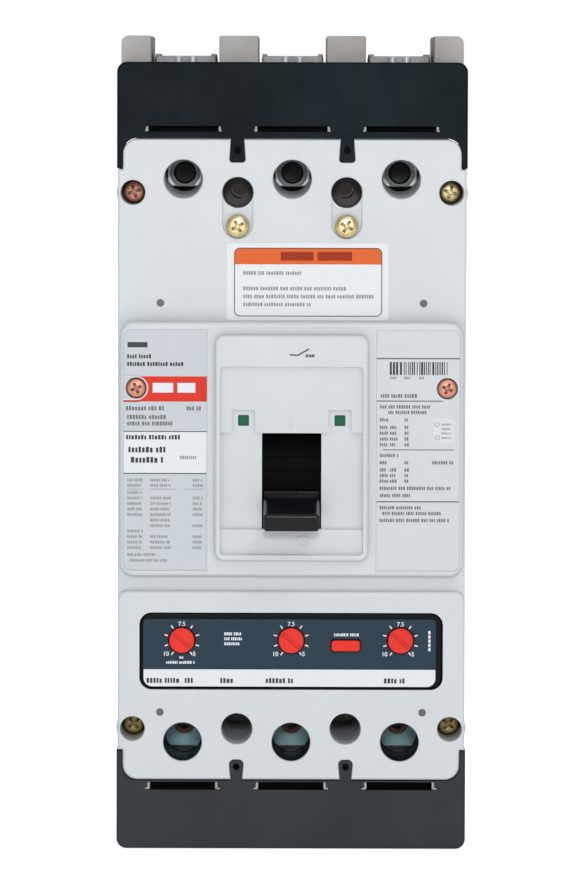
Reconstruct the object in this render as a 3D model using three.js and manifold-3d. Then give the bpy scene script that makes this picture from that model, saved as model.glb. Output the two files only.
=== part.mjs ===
// A three-pole moulded case circuit breaker, in millimetres.
// +X is right, +Z is up, and the breaker faces -Y. The origin is the centre of the rear mounting face.
// Depths are measured forward from that face, so a point at depth d has y = -d.
import * as THREE from 'three';
import { mergeVertices } from 'three/addons/utils/BufferGeometryUtils.js';
import Module from 'manifold-3d';

const wasm = await Module();
wasm.setup();

// ---------- driving dimensions ----------
const GAP = 0.3;
const BODY_WIDTH = 139.7;
const BODY_HEIGHT = 258.2;
const BODY_CORNER = 6;
const SIDE_INSET = 1.9; // each side of the body steps in here for the terminal covers' legs
const INSET_FROM = 117;
const SPLIT_DEPTH = 46; // parting plane of base and front cover
const FACE_DEPTH = 90;
const CENTRE_DEPTH = 96; // raised middle section
const VALLEY_DEPTH = 88.2;
const WALL = 4;
const FRONT_WALL = 3.5;
const BACK_WALL = 5;

const POLE_PITCH = 43.7;
const POLES = [['left', -1], ['centre', 0], ['right', 1]];
const SIDES = [['left', -1], ['right', 1]];

const CENTRE_HALF = 68.8;
const CENTRE_TOP = 56;
const CENTRE_BOTTOM = -45.9;
const VALLEY_BOTTOM = -52.6;

const ACCESS_RADIUS = 7.75;
const LINE_ACCESS_Z = 113;
const LOAD_ACCESS_Z = -113.7;
const MOUNT_X = 21.85;
const LINE_MOUNT_Z = 107.6;
const LOAD_MOUNT_Z = -108.4;
const MOUNT_RADIUS = 6.25;
const MOUNT_BOLT_RADIUS = 3.4;
const MOUNT_SEAT_DEPTH = 20;

const CORNER_SCREW_X = 63.9;
const CORNER_SEAT_DEPTH = 69;
const CORNER_WELL_RADIUS = 5;
const UPPER_SCREW_Z = 94.2;
const PANEL_SCREW = { x: 62.3, z: 29.4 };
const SHANK_RADIUS = 2;
const SCREW_HOLE_RADIUS = 2.4;

const SLOT_HALF = 11.9; // handle slot in the escutcheon
const SLOT_TOP = 11.5;
const SLOT_BOTTOM = -26.9;
const HANDLE_PIVOT = { d: 50, z: -7.7 };
const HANDLE_TILT = THREE.MathUtils.degToRad(12.4); // below the slot's centre when OFF, above it when ON
const HANDLE = { root: 44.4, nose: 70.3, half: 3.6, corner: 1.8, width: 11.1 };
const BARRIER_RADIUS = 43.8;

const CROSSBAR = { d: 30, z: -5, radius: 6.5, half: 60 };
const OPEN_ANGLE = THREE.MathUtils.degToRad(35);
const LEVER = { radius: 15, angle: THREE.MathUtils.degToRad(80) }; // link pin on the centre arm, arm closed
const UPPER_LINK_LENGTH = 20;
const LOWER_LINK_LENGTH = 22;
const CRADLE_PIN = { d: 64, z: 24 };
const UPPER_PIN = { d: 72.7, z: -0.9 };
const LINK_PIN_RADIUS = 2;
const KNEE_EYE_RADIUS = 4; // the toggle pin has play here: the linkage is opened at this pivot
const FRAME_INNER = 15.6;
const FRAME_THICKNESS = 1.5;

const WINDOW = { half: 61.2, top: -61.2, bottom: -92.8 };
const DIAL_PITCH = 44;
const DIAL_Z = -72.6;
const DIAL_RADIUS = 5.05;
const BUTTON = { x: 22, z: -74.7, halfWidth: 5.7, halfHeight: 2.2 };
const TRIP_BAR = { d: 66, z: -86, radius: 2.5, half: 55.5 };

const FLAG_X = 19.3;
const FLAG_Z = 16.6;
const FLAG_WINDOW = 4.4;

const COVER_HALF = 70.3;
const LINE_COVER_TOP = 159.9;
const LOAD_COVER_BOTTOM = -157;
const COVER_REAR = 60.3;
const TAB_X = 22;
const INSULATOR_DEPTH = 60;
const LINE_WALL_TOP = 170.7;
const LOAD_WALL_BOTTOM = -155.5;
const LUG = { half: 12.6, rear: 12, front: 48, inner: 131.5, lineTop: 162.6, loadBottom: -153, bore: 8 };

// ---------- materials ----------
function material(color, roughness, metalness = 0) {
  return new THREE.MeshStandardMaterial({ color, roughness, metalness });
}
const OFF_WHITE = material(0xe4e5e3, 0.45);
const LIGHT_GREY = material(0xc9cccd, 0.5);
const BLACK = material(0x16181a, 0.45);
const GLOSS_BLACK = material(0x0c0c0d, 0.25);
const BLUE_GREY = material(0x2c3b47, 0.4);
const RED = material(0xd8342c, 0.4);
const GREEN = material(0x0f7a4a, 0.5);
const STEEL = material(0x9aa0a4, 0.4, 0.9);
const SPRING_STEEL = material(0xb4b8bb, 0.3, 0.9);
const ZINC_YELLOW = material(0xb69a5e, 0.35, 0.8);
const COPPER = material(0xb87350, 0.35, 0.9);
const ALUMINIUM = material(0xc4c7c9, 0.35, 0.9);
const PHENOLIC = material(0x3a322c, 0.6);

// ---------- shapes and solids ----------
function closedMesh(geometry) {
  const flat = geometry.index ? geometry.toNonIndexed() : geometry.clone();
  flat.deleteAttribute('normal');
  flat.deleteAttribute('uv');
  const merged = mergeVertices(flat, 1e-4);
  const corners = merged.index.array;
  const kept = [];
  for (let i = 0; i < corners.length; i += 3) {
    const [a, b, c] = [corners[i], corners[i + 1], corners[i + 2]];
    if (a !== b && b !== c && c !== a) {
      kept.push(a, b, c);
    }
  }
  return new wasm.Mesh({
    numProp: 3,
    vertProperties: new Float32Array(merged.attributes.position.array),
    triVerts: new Uint32Array(kept),
  });
}

function solid(geometry) {
  return new wasm.Manifold(closedMesh(geometry));
}

function join(...solids) {
  return solids.reduce((all, next) => all.add(next));
}

function cut(body, ...tools) {
  return tools.reduce((rest, tool) => rest.subtract(tool), body);
}

function box(x0, x1, d0, d1, z0, z1) {
  const geometry = new THREE.BoxGeometry(x1 - x0, d1 - d0, z1 - z0);
  return solid(geometry.translate((x0 + x1) / 2, -(d0 + d1) / 2, (z0 + z1) / 2));
}

// An outline in X and Z, extruded forward between two depths.
function front(shape, d0, d1, curveSegments = 3) {
  const geometry = new THREE.ExtrudeGeometry(shape, { depth: d1 - d0, bevelEnabled: false, curveSegments });
  return solid(geometry.rotateX(Math.PI / 2).translate(0, -d0, 0));
}

// An outline in depth and Z, extruded along X. Reversed, because depth runs along -Y.
function side(shape, x0, x1, curveSegments = 4) {
  const geometry = new THREE.ExtrudeGeometry(shape, { depth: x1 - x0, bevelEnabled: false, curveSegments });
  const turned = new THREE.Matrix4().makeBasis(
    new THREE.Vector3(0, -1, 0),
    new THREE.Vector3(0, 0, 1),
    new THREE.Vector3(-1, 0, 0),
  );
  return solid(geometry.applyMatrix4(turned).translate(x1, 0, 0));
}

function rodX(radius, x0, x1, d, z, segments = 12) {
  const geometry = new THREE.CylinderGeometry(radius, radius, x1 - x0, segments);
  return solid(geometry.rotateZ(Math.PI / 2).translate((x0 + x1) / 2, -d, z));
}

function rodY(radius, x, z, d0, d1, segments = 20) {
  const geometry = new THREE.CylinderGeometry(radius, radius, d1 - d0, segments);
  return solid(geometry.translate(x, -(d0 + d1) / 2, z));
}

function rodZ(radius, x, d, z0, z1, segments = 20) {
  const geometry = new THREE.CylinderGeometry(radius, radius, z1 - z0, segments);
  return solid(geometry.rotateX(Math.PI / 2).translate(x, -d, (z0 + z1) / 2));
}

function roundRect(x0, x1, z0, z1, radius) {
  const shape = new THREE.Shape();
  shape.moveTo(x0 + radius, z0);
  shape.lineTo(x1 - radius, z0);
  shape.absarc(x1 - radius, z0 + radius, radius, -Math.PI / 2, 0);
  shape.lineTo(x1, z1 - radius);
  shape.absarc(x1 - radius, z1 - radius, radius, 0, Math.PI / 2);
  shape.lineTo(x0 + radius, z1);
  shape.absarc(x0 + radius, z1 - radius, radius, Math.PI / 2, Math.PI);
  shape.lineTo(x0, z0 + radius);
  shape.absarc(x0 + radius, z0 + radius, radius, Math.PI, Math.PI * 1.5);
  return shape;
}

function outline(points) {
  return new THREE.Shape(points.map(([a, b]) => new THREE.Vector2(a, b)));
}

// A flat bar between two points with round ends, as a link has.
function barOutline(from, to, radius) {
  const along = Math.atan2(to.z - from.z, to.d - from.d);
  const shape = new THREE.Shape();
  shape.absarc(to.d, to.z, radius, along - Math.PI / 2, along + Math.PI / 2);
  shape.absarc(from.d, from.z, radius, along + Math.PI / 2, along + Math.PI * 1.5);
  return shape;
}

function coil(from, to, radius, wire, turns, stepsPerTurn = 7) {
  const axis = to.clone().sub(from);
  const across = new THREE.Vector3(1, 0, 0);
  const up = new THREE.Vector3().crossVectors(axis.clone().normalize(), across);
  const points = [];
  for (let i = 0; i <= turns * stepsPerTurn; i += 1) {
    const angle = (i / stepsPerTurn) * Math.PI * 2;
    const point = from.clone().addScaledVector(axis, i / (turns * stepsPerTurn));
    point.addScaledVector(across, radius * Math.cos(angle));
    point.addScaledVector(up, radius * Math.sin(angle));
    points.push(point);
  }
  const section = new THREE.Shape().absarc(0, 0, wire, 0, Math.PI * 2);
  const extrudePath = new THREE.CatmullRomCurve3(points);
  const steps = turns * stepsPerTurn;
  return solid(new THREE.ExtrudeGeometry(section, { steps, extrudePath, curveSegments: 3 }));
}

// ---------- scene graph ----------
const breaker = new THREE.Group();

function addMesh(name, body, surface, parent = breaker) {
  const { vertProperties, triVerts } = body.getMesh();
  const geometry = new THREE.BufferGeometry();
  geometry.setAttribute('position', new THREE.BufferAttribute(vertProperties, 3));
  geometry.setIndex(new THREE.BufferAttribute(triVerts, 1));
  geometry.computeVertexNormals();
  const mesh = new THREE.Mesh(geometry, surface);
  mesh.name = name;
  parent.add(mesh);
  return mesh;
}

function addGroup(d, z, angle = 0, x = 0) {
  const group = new THREE.Group();
  group.position.set(x, -d, z);
  group.rotation.x = angle;
  breaker.add(group);
  return group;
}

// ---------- casing ----------
function bodyOutline(d0, d1, grow = 0) {
  const half = BODY_WIDTH / 2;
  const end = BODY_HEIGHT / 2;
  const wide = roundRect(-half, half, -INSET_FROM, INSET_FROM, 1);
  const inset = half - SIDE_INSET + grow;
  const tall = roundRect(-inset, inset, -end - grow, end + grow, BODY_CORNER + grow);
  return join(front(wide, d0, d1), front(tall, d0, d1));
}

function mirroredX(make) {
  return join(make(-1), make(1));
}

// The solid posts that the screws pass through, shared by base and cover.
function screwPosts(d0, d1, extra = 0) {
  const posts = [];
  for (const [, sign] of SIDES) {
    for (const z of [LINE_MOUNT_Z, LOAD_MOUNT_Z]) {
      posts.push(rodY(8.5, sign * MOUNT_X, z, d0, d1, 12));
      posts.push(rodY(6.2, sign * CORNER_SCREW_X, z, d0, d1, 10));
    }
    posts.push(rodY(5.6, sign * MOUNT_X, UPPER_SCREW_Z, d0, d1, 10));
    posts.push(rodY(5.6, sign * PANEL_SCREW.x, PANEL_SCREW.z, d0, d1 + extra, 10));
  }
  return join(...posts);
}

function conductorSlots(d0, d1) {
  const slots = [];
  const end = BODY_HEIGHT / 2;
  for (const [, sign] of POLES) {
    for (const z of [end - 6, -end - 2]) {
      slots.push(box(sign * POLE_PITCH - 13, sign * POLE_PITCH + 13, d0, d1, z, z + 8));
    }
  }
  return join(...slots);
}

function makeBase() {
  const half = BODY_WIDTH / 2 - WALL;
  const end = BODY_HEIGHT / 2 - WALL;
  const shell = bodyOutline(0, SPLIT_DEPTH);
  const cavity = front(roundRect(-half, half, -end, end, 3), BACK_WALL, SPLIT_DEPTH + 1);
  const barrier = mirroredX((sign) => box(
    sign * MOUNT_X - 1.5, sign * MOUNT_X + 1.5, BACK_WALL - 1, SPLIT_DEPTH, -end - 1, end + 1,
  ));
  const notchRadius = CROSSBAR.radius + 0.5;
  const notch = join(
    rodX(notchRadius, -MOUNT_X - 4, MOUNT_X + 4, CROSSBAR.d, CROSSBAR.z, 24),
    box(-MOUNT_X - 4, MOUNT_X + 4, CROSSBAR.d, SPLIT_DEPTH + 1,
      CROSSBAR.z - notchRadius, CROSSBAR.z + notchRadius),
  );
  const posts = screwPosts(BACK_WALL - 1, SPLIT_DEPTH);
  let base = join(cut(join(cut(shell, cavity), barrier), notch), posts);
  for (const [, sign] of SIDES) {
    for (const z of [LINE_MOUNT_Z, LOAD_MOUNT_Z]) {
      base = cut(
        base,
        rodY(MOUNT_BOLT_RADIUS, sign * MOUNT_X, z, -1, SPLIT_DEPTH + 1),
        rodY(MOUNT_RADIUS, sign * MOUNT_X, z, MOUNT_SEAT_DEPTH, SPLIT_DEPTH + 1),
        rodY(SCREW_HOLE_RADIUS, sign * CORNER_SCREW_X, z, 14, SPLIT_DEPTH + 1, 8),
      );
    }
    base = cut(
      base,
      rodY(SCREW_HOLE_RADIUS, sign * MOUNT_X, UPPER_SCREW_Z, 14, SPLIT_DEPTH + 1, 8),
      rodY(SCREW_HOLE_RADIUS, sign * PANEL_SCREW.x, PANEL_SCREW.z, 14, SPLIT_DEPTH + 1, 8),
    );
  }
  return cut(base, conductorSlots(10, SPLIT_DEPTH + 1));
}

function makeFrontCover() {
  const rear = SPLIT_DEPTH + GAP;
  const half = BODY_WIDTH / 2 - WALL;
  const end = BODY_HEIGHT / 2 - WALL;
  const insideFront = FACE_DEPTH - FRONT_WALL;
  const shell = join(
    bodyOutline(rear, FACE_DEPTH),
    front(roundRect(-CENTRE_HALF, CENTRE_HALF, CENTRE_BOTTOM, CENTRE_TOP, 5.6), 80, CENTRE_DEPTH),
  );
  const cavity = join(
    front(roundRect(-half, half, -end, end, 3), rear - 1, insideFront),
    front(roundRect(-CENTRE_HALF + WALL, CENTRE_HALF - WALL, CENTRE_BOTTOM + WALL, CENTRE_TOP - WALL, 3),
      rear, CENTRE_DEPTH - FRONT_WALL),
  );
  const valley = box(-BODY_WIDTH, BODY_WIDTH, VALLEY_DEPTH, FACE_DEPTH + 1, VALLEY_BOTTOM, CENTRE_BOTTOM);
  const ribs = mirroredX((sign) => box(
    sign * MOUNT_X - 1.5, sign * MOUNT_X + 1.5, rear, insideFront + 1, CENTRE_TOP + 2, end + 1,
  ));
  const posts = screwPosts(rear, insideFront + 1, CENTRE_DEPTH - FACE_DEPTH);
  const tubes = [];
  for (const [, sign] of POLES) {
    for (const z of [LINE_ACCESS_Z, LOAD_ACCESS_Z]) {
      tubes.push(rodY(ACCESS_RADIUS + 2, sign * POLE_PITCH, z, 66, insideFront + 1, 12));
    }
  }
  let cover = join(cut(shell, cavity, valley), ribs, posts, ...tubes);
  for (const [, sign] of POLES) {
    for (const z of [LINE_ACCESS_Z, LOAD_ACCESS_Z]) {
      cover = cut(cover, rodY(ACCESS_RADIUS, sign * POLE_PITCH, z, 60, FACE_DEPTH + 1));
    }
  }
  for (const [, sign] of SIDES) {
    for (const z of [LINE_MOUNT_Z, LOAD_MOUNT_Z]) {
      cover = cut(
        cover,
        rodY(MOUNT_RADIUS, sign * MOUNT_X, z, rear - 1, FACE_DEPTH + 1),
        rodY(SCREW_HOLE_RADIUS, sign * CORNER_SCREW_X, z, rear - 1, FACE_DEPTH + 1, 8),
        rodY(CORNER_WELL_RADIUS, sign * CORNER_SCREW_X, z, CORNER_SEAT_DEPTH, FACE_DEPTH + 1, 16),
      );
    }
    const slot = roundRect(
      sign * MOUNT_X - MOUNT_RADIUS, sign * MOUNT_X + MOUNT_RADIUS,
      UPPER_SCREW_Z - 5.1, LINE_MOUNT_Z + MOUNT_RADIUS, MOUNT_RADIUS - 0.05,
    );
    const panel = roundRect(
      Math.min(sign * 33.8, sign * 67.6), Math.max(sign * 33.8, sign * 67.6), -44, 53, 3,
    );
    cover = cut(
      cover,
      front(slot, FACE_DEPTH - 1, FACE_DEPTH + 1),
      rodY(SCREW_HOLE_RADIUS, sign * MOUNT_X, UPPER_SCREW_Z, rear - 1, FACE_DEPTH + 1, 8),
      front(panel, CENTRE_DEPTH - 0.5, CENTRE_DEPTH + 1),
      rodY(SCREW_HOLE_RADIUS, sign * PANEL_SCREW.x, PANEL_SCREW.z, rear - 1, CENTRE_DEPTH + 1, 8),
      rodY(4.4, sign * PANEL_SCREW.x, PANEL_SCREW.z, CENTRE_DEPTH - 2.5, CENTRE_DEPTH + 1),
      box(sign * TAB_X - 3.5, sign * TAB_X + 3.5, FACE_DEPTH - 1.2, FACE_DEPTH + 1, 119.4, 140),
      box(sign * TAB_X - 3.5, sign * TAB_X + 3.5, FACE_DEPTH - 1.2, FACE_DEPTH + 1, -140, -119.8),
    );
  }
  const trip = roundRect(-WINDOW.half, WINDOW.half, WINDOW.bottom, WINDOW.top, 4);
  return cut(
    cover,
    front(trip, 80, FACE_DEPTH + 1),
    front(roundRect(-26, 26, -34.5, 46, 2), 80, CENTRE_DEPTH + 1),
    conductorSlots(rear - 1, 62),
  );
}

// The raised frame round the handle, with its stepped plates, slot and two indicator windows.
function makeEscutcheon() {
  const frameFront = CENTRE_DEPTH + 3.5;
  const plateRear = 94.6;
  const lowerPlate = 96.9;
  const block = join(
    front(roundRect(-30.7, 30.7, -39.6, 51, 3), CENTRE_DEPTH + GAP, frameFront),
    front(roundRect(-25.7, 25.7, -34.2, 45.7, 2), 92.2, CENTRE_DEPTH + 1),
  );
  const steps = [
    front(roundRect(-28.7, 28.7, -37.3, 38.3, 1.5), frameFront - 1.5, frameFront + 1),
    box(-28.7, 28.7, lowerPlate, frameFront + 1, SLOT_BOTTOM - 0.2, SLOT_TOP + 0.2),
    box(-23.5, 23.5, 90, plateRear, -32, 43.5),
    box(-SLOT_HALF, SLOT_HALF, 90, frameFront, SLOT_BOTTOM, SLOT_TOP),
  ];
  for (const [, sign] of SIDES) {
    const x = sign * FLAG_X;
    const w = FLAG_WINDOW / 2;
    steps.push(box(x - 4.85, x + 4.85, lowerPlate, frameFront + 1, SLOT_TOP, 20.9));
    steps.push(box(x - w, x + w, 90, frameFront, FLAG_Z - w, FLAG_Z + w));
  }
  return cut(block, ...steps);
}

// A black terminal cover: front plate, side walls with legs along the body, slots and two tabs.
function makeTerminalCover(end) {
  const bodyEnd = BODY_HEIGHT / 2 + GAP;
  const far = end > 0 ? LINE_COVER_TOP : -LOAD_COVER_BOTTOM;
  const reach = (a, b) => [Math.min(end * a, end * b), Math.max(end * a, end * b)];
  const [z0, z1] = reach(INSET_FROM + GAP, far);
  const [c0, c1] = reach(bodyEnd - 20, far + 5);
  const shell = cut(
    front(roundRect(-COVER_HALF, COVER_HALF, z0, z1, 4), COVER_REAR, FACE_DEPTH),
    bodyOutline(COVER_REAR - 1, FACE_DEPTH + 1, GAP),
    box(-COVER_HALF + 2.8, COVER_HALF - 2.8, COVER_REAR - 1, FACE_DEPTH - 3, c0, c1),
  );
  const slots = POLES.map(([, sign]) => {
    const [s0, s1] = end > 0 ? reach(131.9, 134.3) : reach(bodyEnd + 0.8, bodyEnd + 3.6);
    return box(sign * POLE_PITCH - 15.4, sign * POLE_PITCH + 15.4, FACE_DEPTH - 4, FACE_DEPTH + 1, s0, s1);
  });
  const tabs = SIDES.map(([, sign]) => {
    const [t0, t1] = end > 0 ? reach(119.8, bodyEnd + 2) : reach(120.2, bodyEnd + 0.7);
    const shape = roundRect(sign * TAB_X - 3.2, sign * TAB_X + 3.2, t0, t1, 1.2);
    const hole = rodY(1.45, sign * TAB_X, end * 123.4, FACE_DEPTH - 2, FACE_DEPTH + 1, 12);
    return cut(front(shape, FACE_DEPTH - 0.9, FACE_DEPTH + 0.3), hole);
  });
  const ribs = SIDES.map(([, sign]) => {
    const [r0, r1] = reach(bodyEnd, far - 3);
    return box(sign * TAB_X - 1.2, sign * TAB_X + 1.2, COVER_REAR + 1, FACE_DEPTH - 2, r0, r1);
  });
  return join(cut(shell, ...slots), ...tabs, ...ribs);
}

// Back plate and four walls that stand between the terminals.
function makeInsulator(end) {
  const near = BODY_HEIGHT / 2 + GAP;
  const far = end > 0 ? LINE_WALL_TOP : -LOAD_WALL_BOTTOM;
  const plate = [Math.min(end * near, end * 152), Math.max(end * near, end * 152)];
  const walls = [Math.min(end * near, end * far), Math.max(end * near, end * far)];
  const parts = [box(-69.6, 69.6, 0.5, 5, ...plate)];
  for (const [, sign] of SIDES) {
    for (const [a, b] of [[57.5, 69.6], [13.8, 29.8]]) {
      const wall = roundRect(Math.min(sign * a, sign * b), Math.max(sign * a, sign * b), ...walls, 2.2);
      parts.push(front(wall, 0.5, INSULATOR_DEPTH, 2));
    }
  }
  return join(...parts);
}

// ---------- terminals and conductors, each made at the centre pole ----------
function makeLineLug() {
  const body = box(-LUG.half, LUG.half, LUG.rear, LUG.front, LUG.inner, LUG.lineTop);
  const tang = box(-7.2, 7.2, 20.3, 60, 109.5, LUG.inner + 6);
  return cut(
    join(body, tang),
    rodZ(LUG.bore, 0, 30, 140, LUG.lineTop + 1, 24),
    rodY(4.6, 0, LINE_ACCESS_Z + 2, 44, 61),
  );
}

function makeLoadLug() {
  const body = box(-LUG.half, LUG.half, LUG.rear, LUG.front, LUG.loadBottom, -LUG.inner);
  const tang = box(-7.2, 7.2, 16.3, 24, -LUG.inner - 1, -108.3);
  return cut(join(body, tang), rodZ(LUG.bore, 0, 30, LUG.loadBottom - 1, -138, 24));
}

function makeLineConductor() {
  const bar = box(-8, 8, 16, 20, 48, 131);
  const contact = box(-5, 5, 19, 23, 48, 58);
  return join(bar, contact);
}

function makeLoadConductor() {
  const bar = box(-8, 8, 12, 16, -131, -24);
  const riser = box(-8, 8, 12, 50, -106, -102);
  const pad = cut(box(-10, 10, 46, 50, -120.4, -102), rodY(4, 0, -111, 40, 60, 20));
  return join(bar, riser, pad);
}

function makeArcChute() {
  const z0 = 60.5;
  const z1 = 95;
  const parts = [box(-15, -13.8, 24, 72, z0, z1), box(13.8, 15, 24, 72, z0, z1)];
  const plate = outline([[-14.2, z0 + 1], [-4, z0 + 1], [0, z0 + 12], [4, z0 + 1], [14.2, z0 + 1],
    [14.2, z1 - 1], [-14.2, z1 - 1]]);
  for (let d = 27; d < 70; d += 6.6) {
    parts.push(front(plate, d, d + 1.3));
  }
  return join(...parts);
}

function makeBimetal() {
  return join(box(-5, 5, 16.3, 18.3, -101.5, -92), box(-5, 5, 16.3, 75, -93.4, -92));
}

function makeShunt() {
  const path = new THREE.CatmullRomCurve3([
    new THREE.Vector3(0, -21.2, -17.7),
    new THREE.Vector3(0, -19.4, -20.4),
    new THREE.Vector3(0, -17.9, -24),
    new THREE.Vector3(0, -17.5, -32),
  ]);
  const section = outline([[-3.5, -1], [3.5, -1], [3.5, 1], [-3.5, 1]]);
  return solid(new THREE.ExtrudeGeometry(section, { steps: 10, extrudePath: path }));
}

// ---------- contacts: in the crossbar's own frame, arm closed and pointing up ----------
function armBlank(grow = 0) {
  return box(-4 - grow, 4 + grow, -2.5 - grow, 2.5 + grow, -14, 62);
}

function makeContactArm(hasLever) {
  const tip = box(-4, 4, -6.7, 2.5, 53, 63);
  let arm = join(armBlank(), tip);
  if (hasLever) {
    const pin = { d: LEVER.radius * Math.cos(LEVER.angle), z: LEVER.radius * Math.sin(LEVER.angle) };
    arm = cut(
      join(arm, rodX(5, -4, 4, pin.d, pin.z, 20)),
      rodX(LINK_PIN_RADIUS + GAP, -5, 5, pin.d, pin.z),
    );
  }
  return arm;
}

function makeCrossbar() {
  const bar = rodX(CROSSBAR.radius, -CROSSBAR.half, CROSSBAR.half, 0, 0, 24);
  const slots = POLES.map(([, sign]) => armBlank(GAP).translate([sign * POLE_PITCH, 0, 0]));
  return cut(bar, ...slots);
}

// ---------- operating mechanism ----------
function polar(from, length, angle) {
  return { d: from.d + length * Math.cos(angle), z: from.z + length * Math.sin(angle) };
}

// Where two circles about a and b meet, on the side below the line from a to b.
function knee(a, reachA, b, reachB) {
  const span = Math.hypot(b.d - a.d, b.z - a.z);
  const along = Math.atan2(b.z - a.z, b.d - a.d);
  const corner = Math.acos((reachA ** 2 + span ** 2 - reachB ** 2) / (2 * reachA * span));
  return polar(a, reachA, along - corner);
}

const LEVER_PIN = polar(CROSSBAR, LEVER.radius, LEVER.angle - OPEN_ANGLE);
const KNEE = knee(LEVER_PIN, LOWER_LINK_LENGTH, UPPER_PIN, UPPER_LINK_LENGTH);

function pairOfPlates(shape, inner, thickness, ...holes) {
  const plates = mirroredX((sign) => {
    const x = sign > 0 ? inner : -inner - thickness;
    return side(shape, x, x + thickness);
  });
  return cut(plates, ...holes);
}

function makeLowerLink() {
  const plates = pairOfPlates(
    barOutline(LEVER_PIN, KNEE, 5.4), 5.2, 2,
    rodX(KNEE_EYE_RADIUS, -8, 8, KNEE.d, KNEE.z, 20),
  );
  return join(plates, rodX(LINK_PIN_RADIUS, -7.2, 7.2, LEVER_PIN.d, LEVER_PIN.z));
}

function makeUpperLink() {
  const plates = pairOfPlates(
    barOutline(UPPER_PIN, KNEE, 4), 8.4, 2,
    rodX(LINK_PIN_RADIUS + GAP, -12, 12, KNEE.d, KNEE.z),
  );
  return join(plates, rodX(LINK_PIN_RADIUS, -14.8, 14.8, UPPER_PIN.d, UPPER_PIN.z));
}

function makeTogglePin() {
  return rodX(LINK_PIN_RADIUS, -11.4, 11.4, KNEE.d, KNEE.z);
}

function makeCradle() {
  const shape = outline([[60, 28], [67, 28.5], [78, 2], [77, -6], [62, -38], [56, -38], [68, -6], [69, 2]]);
  const plates = pairOfPlates(
    shape, 11.8, 2, rodX(LINK_PIN_RADIUS + GAP, -16, 16, UPPER_PIN.d, UPPER_PIN.z),
  );
  const pin = rodX(LINK_PIN_RADIUS, -17.8, 17.8, CRADLE_PIN.d, CRADLE_PIN.z);
  return join(plates, pin, box(-12.5, 12.5, 57.5, 61.5, -37.5, -33));
}

function makeMechanismFrame() {
  const shape = outline([[5.4, -30], [5.4, 26], [58, 32], [70, 31], [70, 18], [58, 4], [58, -20], [46, -34]]);
  const plates = pairOfPlates(
    shape, FRAME_INNER, FRAME_THICKNESS,
    rodX(CROSSBAR.radius + 0.6, -20, 20, CROSSBAR.d, CROSSBAR.z, 24),
    rodX(LINK_PIN_RADIUS + GAP, -20, 20, CRADLE_PIN.d, CRADLE_PIN.z),
  );
  const outer = FRAME_INNER + FRAME_THICKNESS;
  const stubs = mirroredX((sign) => rodX(
    2.5, Math.min(sign * FRAME_INNER, sign * 20), Math.max(sign * FRAME_INNER, sign * 20),
    HANDLE_PIVOT.d, HANDLE_PIVOT.z,
  ));
  return join(plates, stubs, rodX(2.5, -outer, outer, 12, 20), rodX(2.5, -outer, outer, 42, -28));
}

// The handle parts are made about the handle's pivot, pointing straight forward.
function makeHandle() {
  const { root, nose, half, corner, width } = HANDLE;
  const shape = new THREE.Shape();
  shape.moveTo(root, -half - 0.4);
  shape.lineTo(nose - corner, -half);
  shape.quadraticCurveTo(nose, -half, nose, -half + corner);
  shape.lineTo(nose, half - corner);
  shape.quadraticCurveTo(nose, half, nose - corner, half);
  shape.lineTo(root, half + 0.4);
  const grip = side(shape, -width, width);
  const flange = box(-width, width, root, root + 1.1, -5.6, 5.6);
  return join(grip, flange, box(-8, 8, 36.4, root + 0.6, -4.6, 4.6));
}

function makeBarrier() {
  const spread = THREE.MathUtils.degToRad(38);
  const shape = new THREE.Shape();
  shape.absarc(0, 0, BARRIER_RADIUS, -spread, spread);
  shape.absarc(0, 0, BARRIER_RADIUS - 1.6, spread, -spread, true);
  return cut(side(shape, -13.6, 13.6, 8), box(-8.3, 8.3, 30, 60, -4.9, 4.9));
}

function makeYoke() {
  const leg = outline([[-3, -6], [3, -6.5], [36.1, -5.5], [36.1, 5.5], [3, 6.5], [-3, 6]]);
  const plates = pairOfPlates(leg, 17.9, 1.6, rodX(2.8, -22, 22, 0, 0));
  return join(plates, box(-19.5, 19.5, 34.3, 36.1, -5.5, 5.5));
}

function mechanismSpring(sign) {
  const top = polar(HANDLE_PIVOT, 33.2, -HANDLE_TILT);
  const from = new THREE.Vector3(sign * 2.9, -KNEE.d, KNEE.z);
  const to = new THREE.Vector3(sign * 2.9, -top.d, top.z);
  const start = from.clone().lerp(to, 0.12);
  return coil(start, to.clone().lerp(from, 0.04), 1.9, 0.45, 5);
}

// Two coloured strips behind the indicator windows, joined above the slot.
function makeIndicator() {
  const strips = mirroredX((sign) => box(sign * FLAG_X - 3, sign * FLAG_X + 3, 92.8, 94, 3, 30));
  return join(strips, box(-FLAG_X - 3, FLAG_X + 3, 92.8, 94, 25, 30));
}

// ---------- trip unit ----------
function makeTripHousing() {
  const block = join(
    box(-62, 62, 50, 85, -98, -57),
    front(roundRect(-60.9, 60.9, -92.5, -61.5, 3.7), 84, 88.5),
  );
  const hollow = join(box(-60, 60, 49, 83, -96, -59), box(-58.9, 58.9, 80, 86, -90.5, -63.5));
  const webs = mirroredX((sign) => box(sign * 54 - 1, sign * 54 + 1, 58, 84, -97, -78));
  const ledge = box(BUTTON.x - 5, BUTTON.x + 5, 70.2, 72, -97, -58);
  const holes = [
    rodX(TRIP_BAR.radius + 0.4, -58, 58, TRIP_BAR.d, TRIP_BAR.z),
    rodY(2, BUTTON.x, BUTTON.z, 69, 73, 12),
    box(BUTTON.x - 6, BUTTON.x + 6, 82, 90, BUTTON.z - 2.5, BUTTON.z + 2.5),
  ];
  for (const [, sign] of POLES) {
    holes.push(rodY(2.5, sign * DIAL_PITCH, DIAL_Z, 80, 90, 16));
  }
  return cut(join(cut(block, hollow), webs, ledge), ...holes);
}

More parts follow.
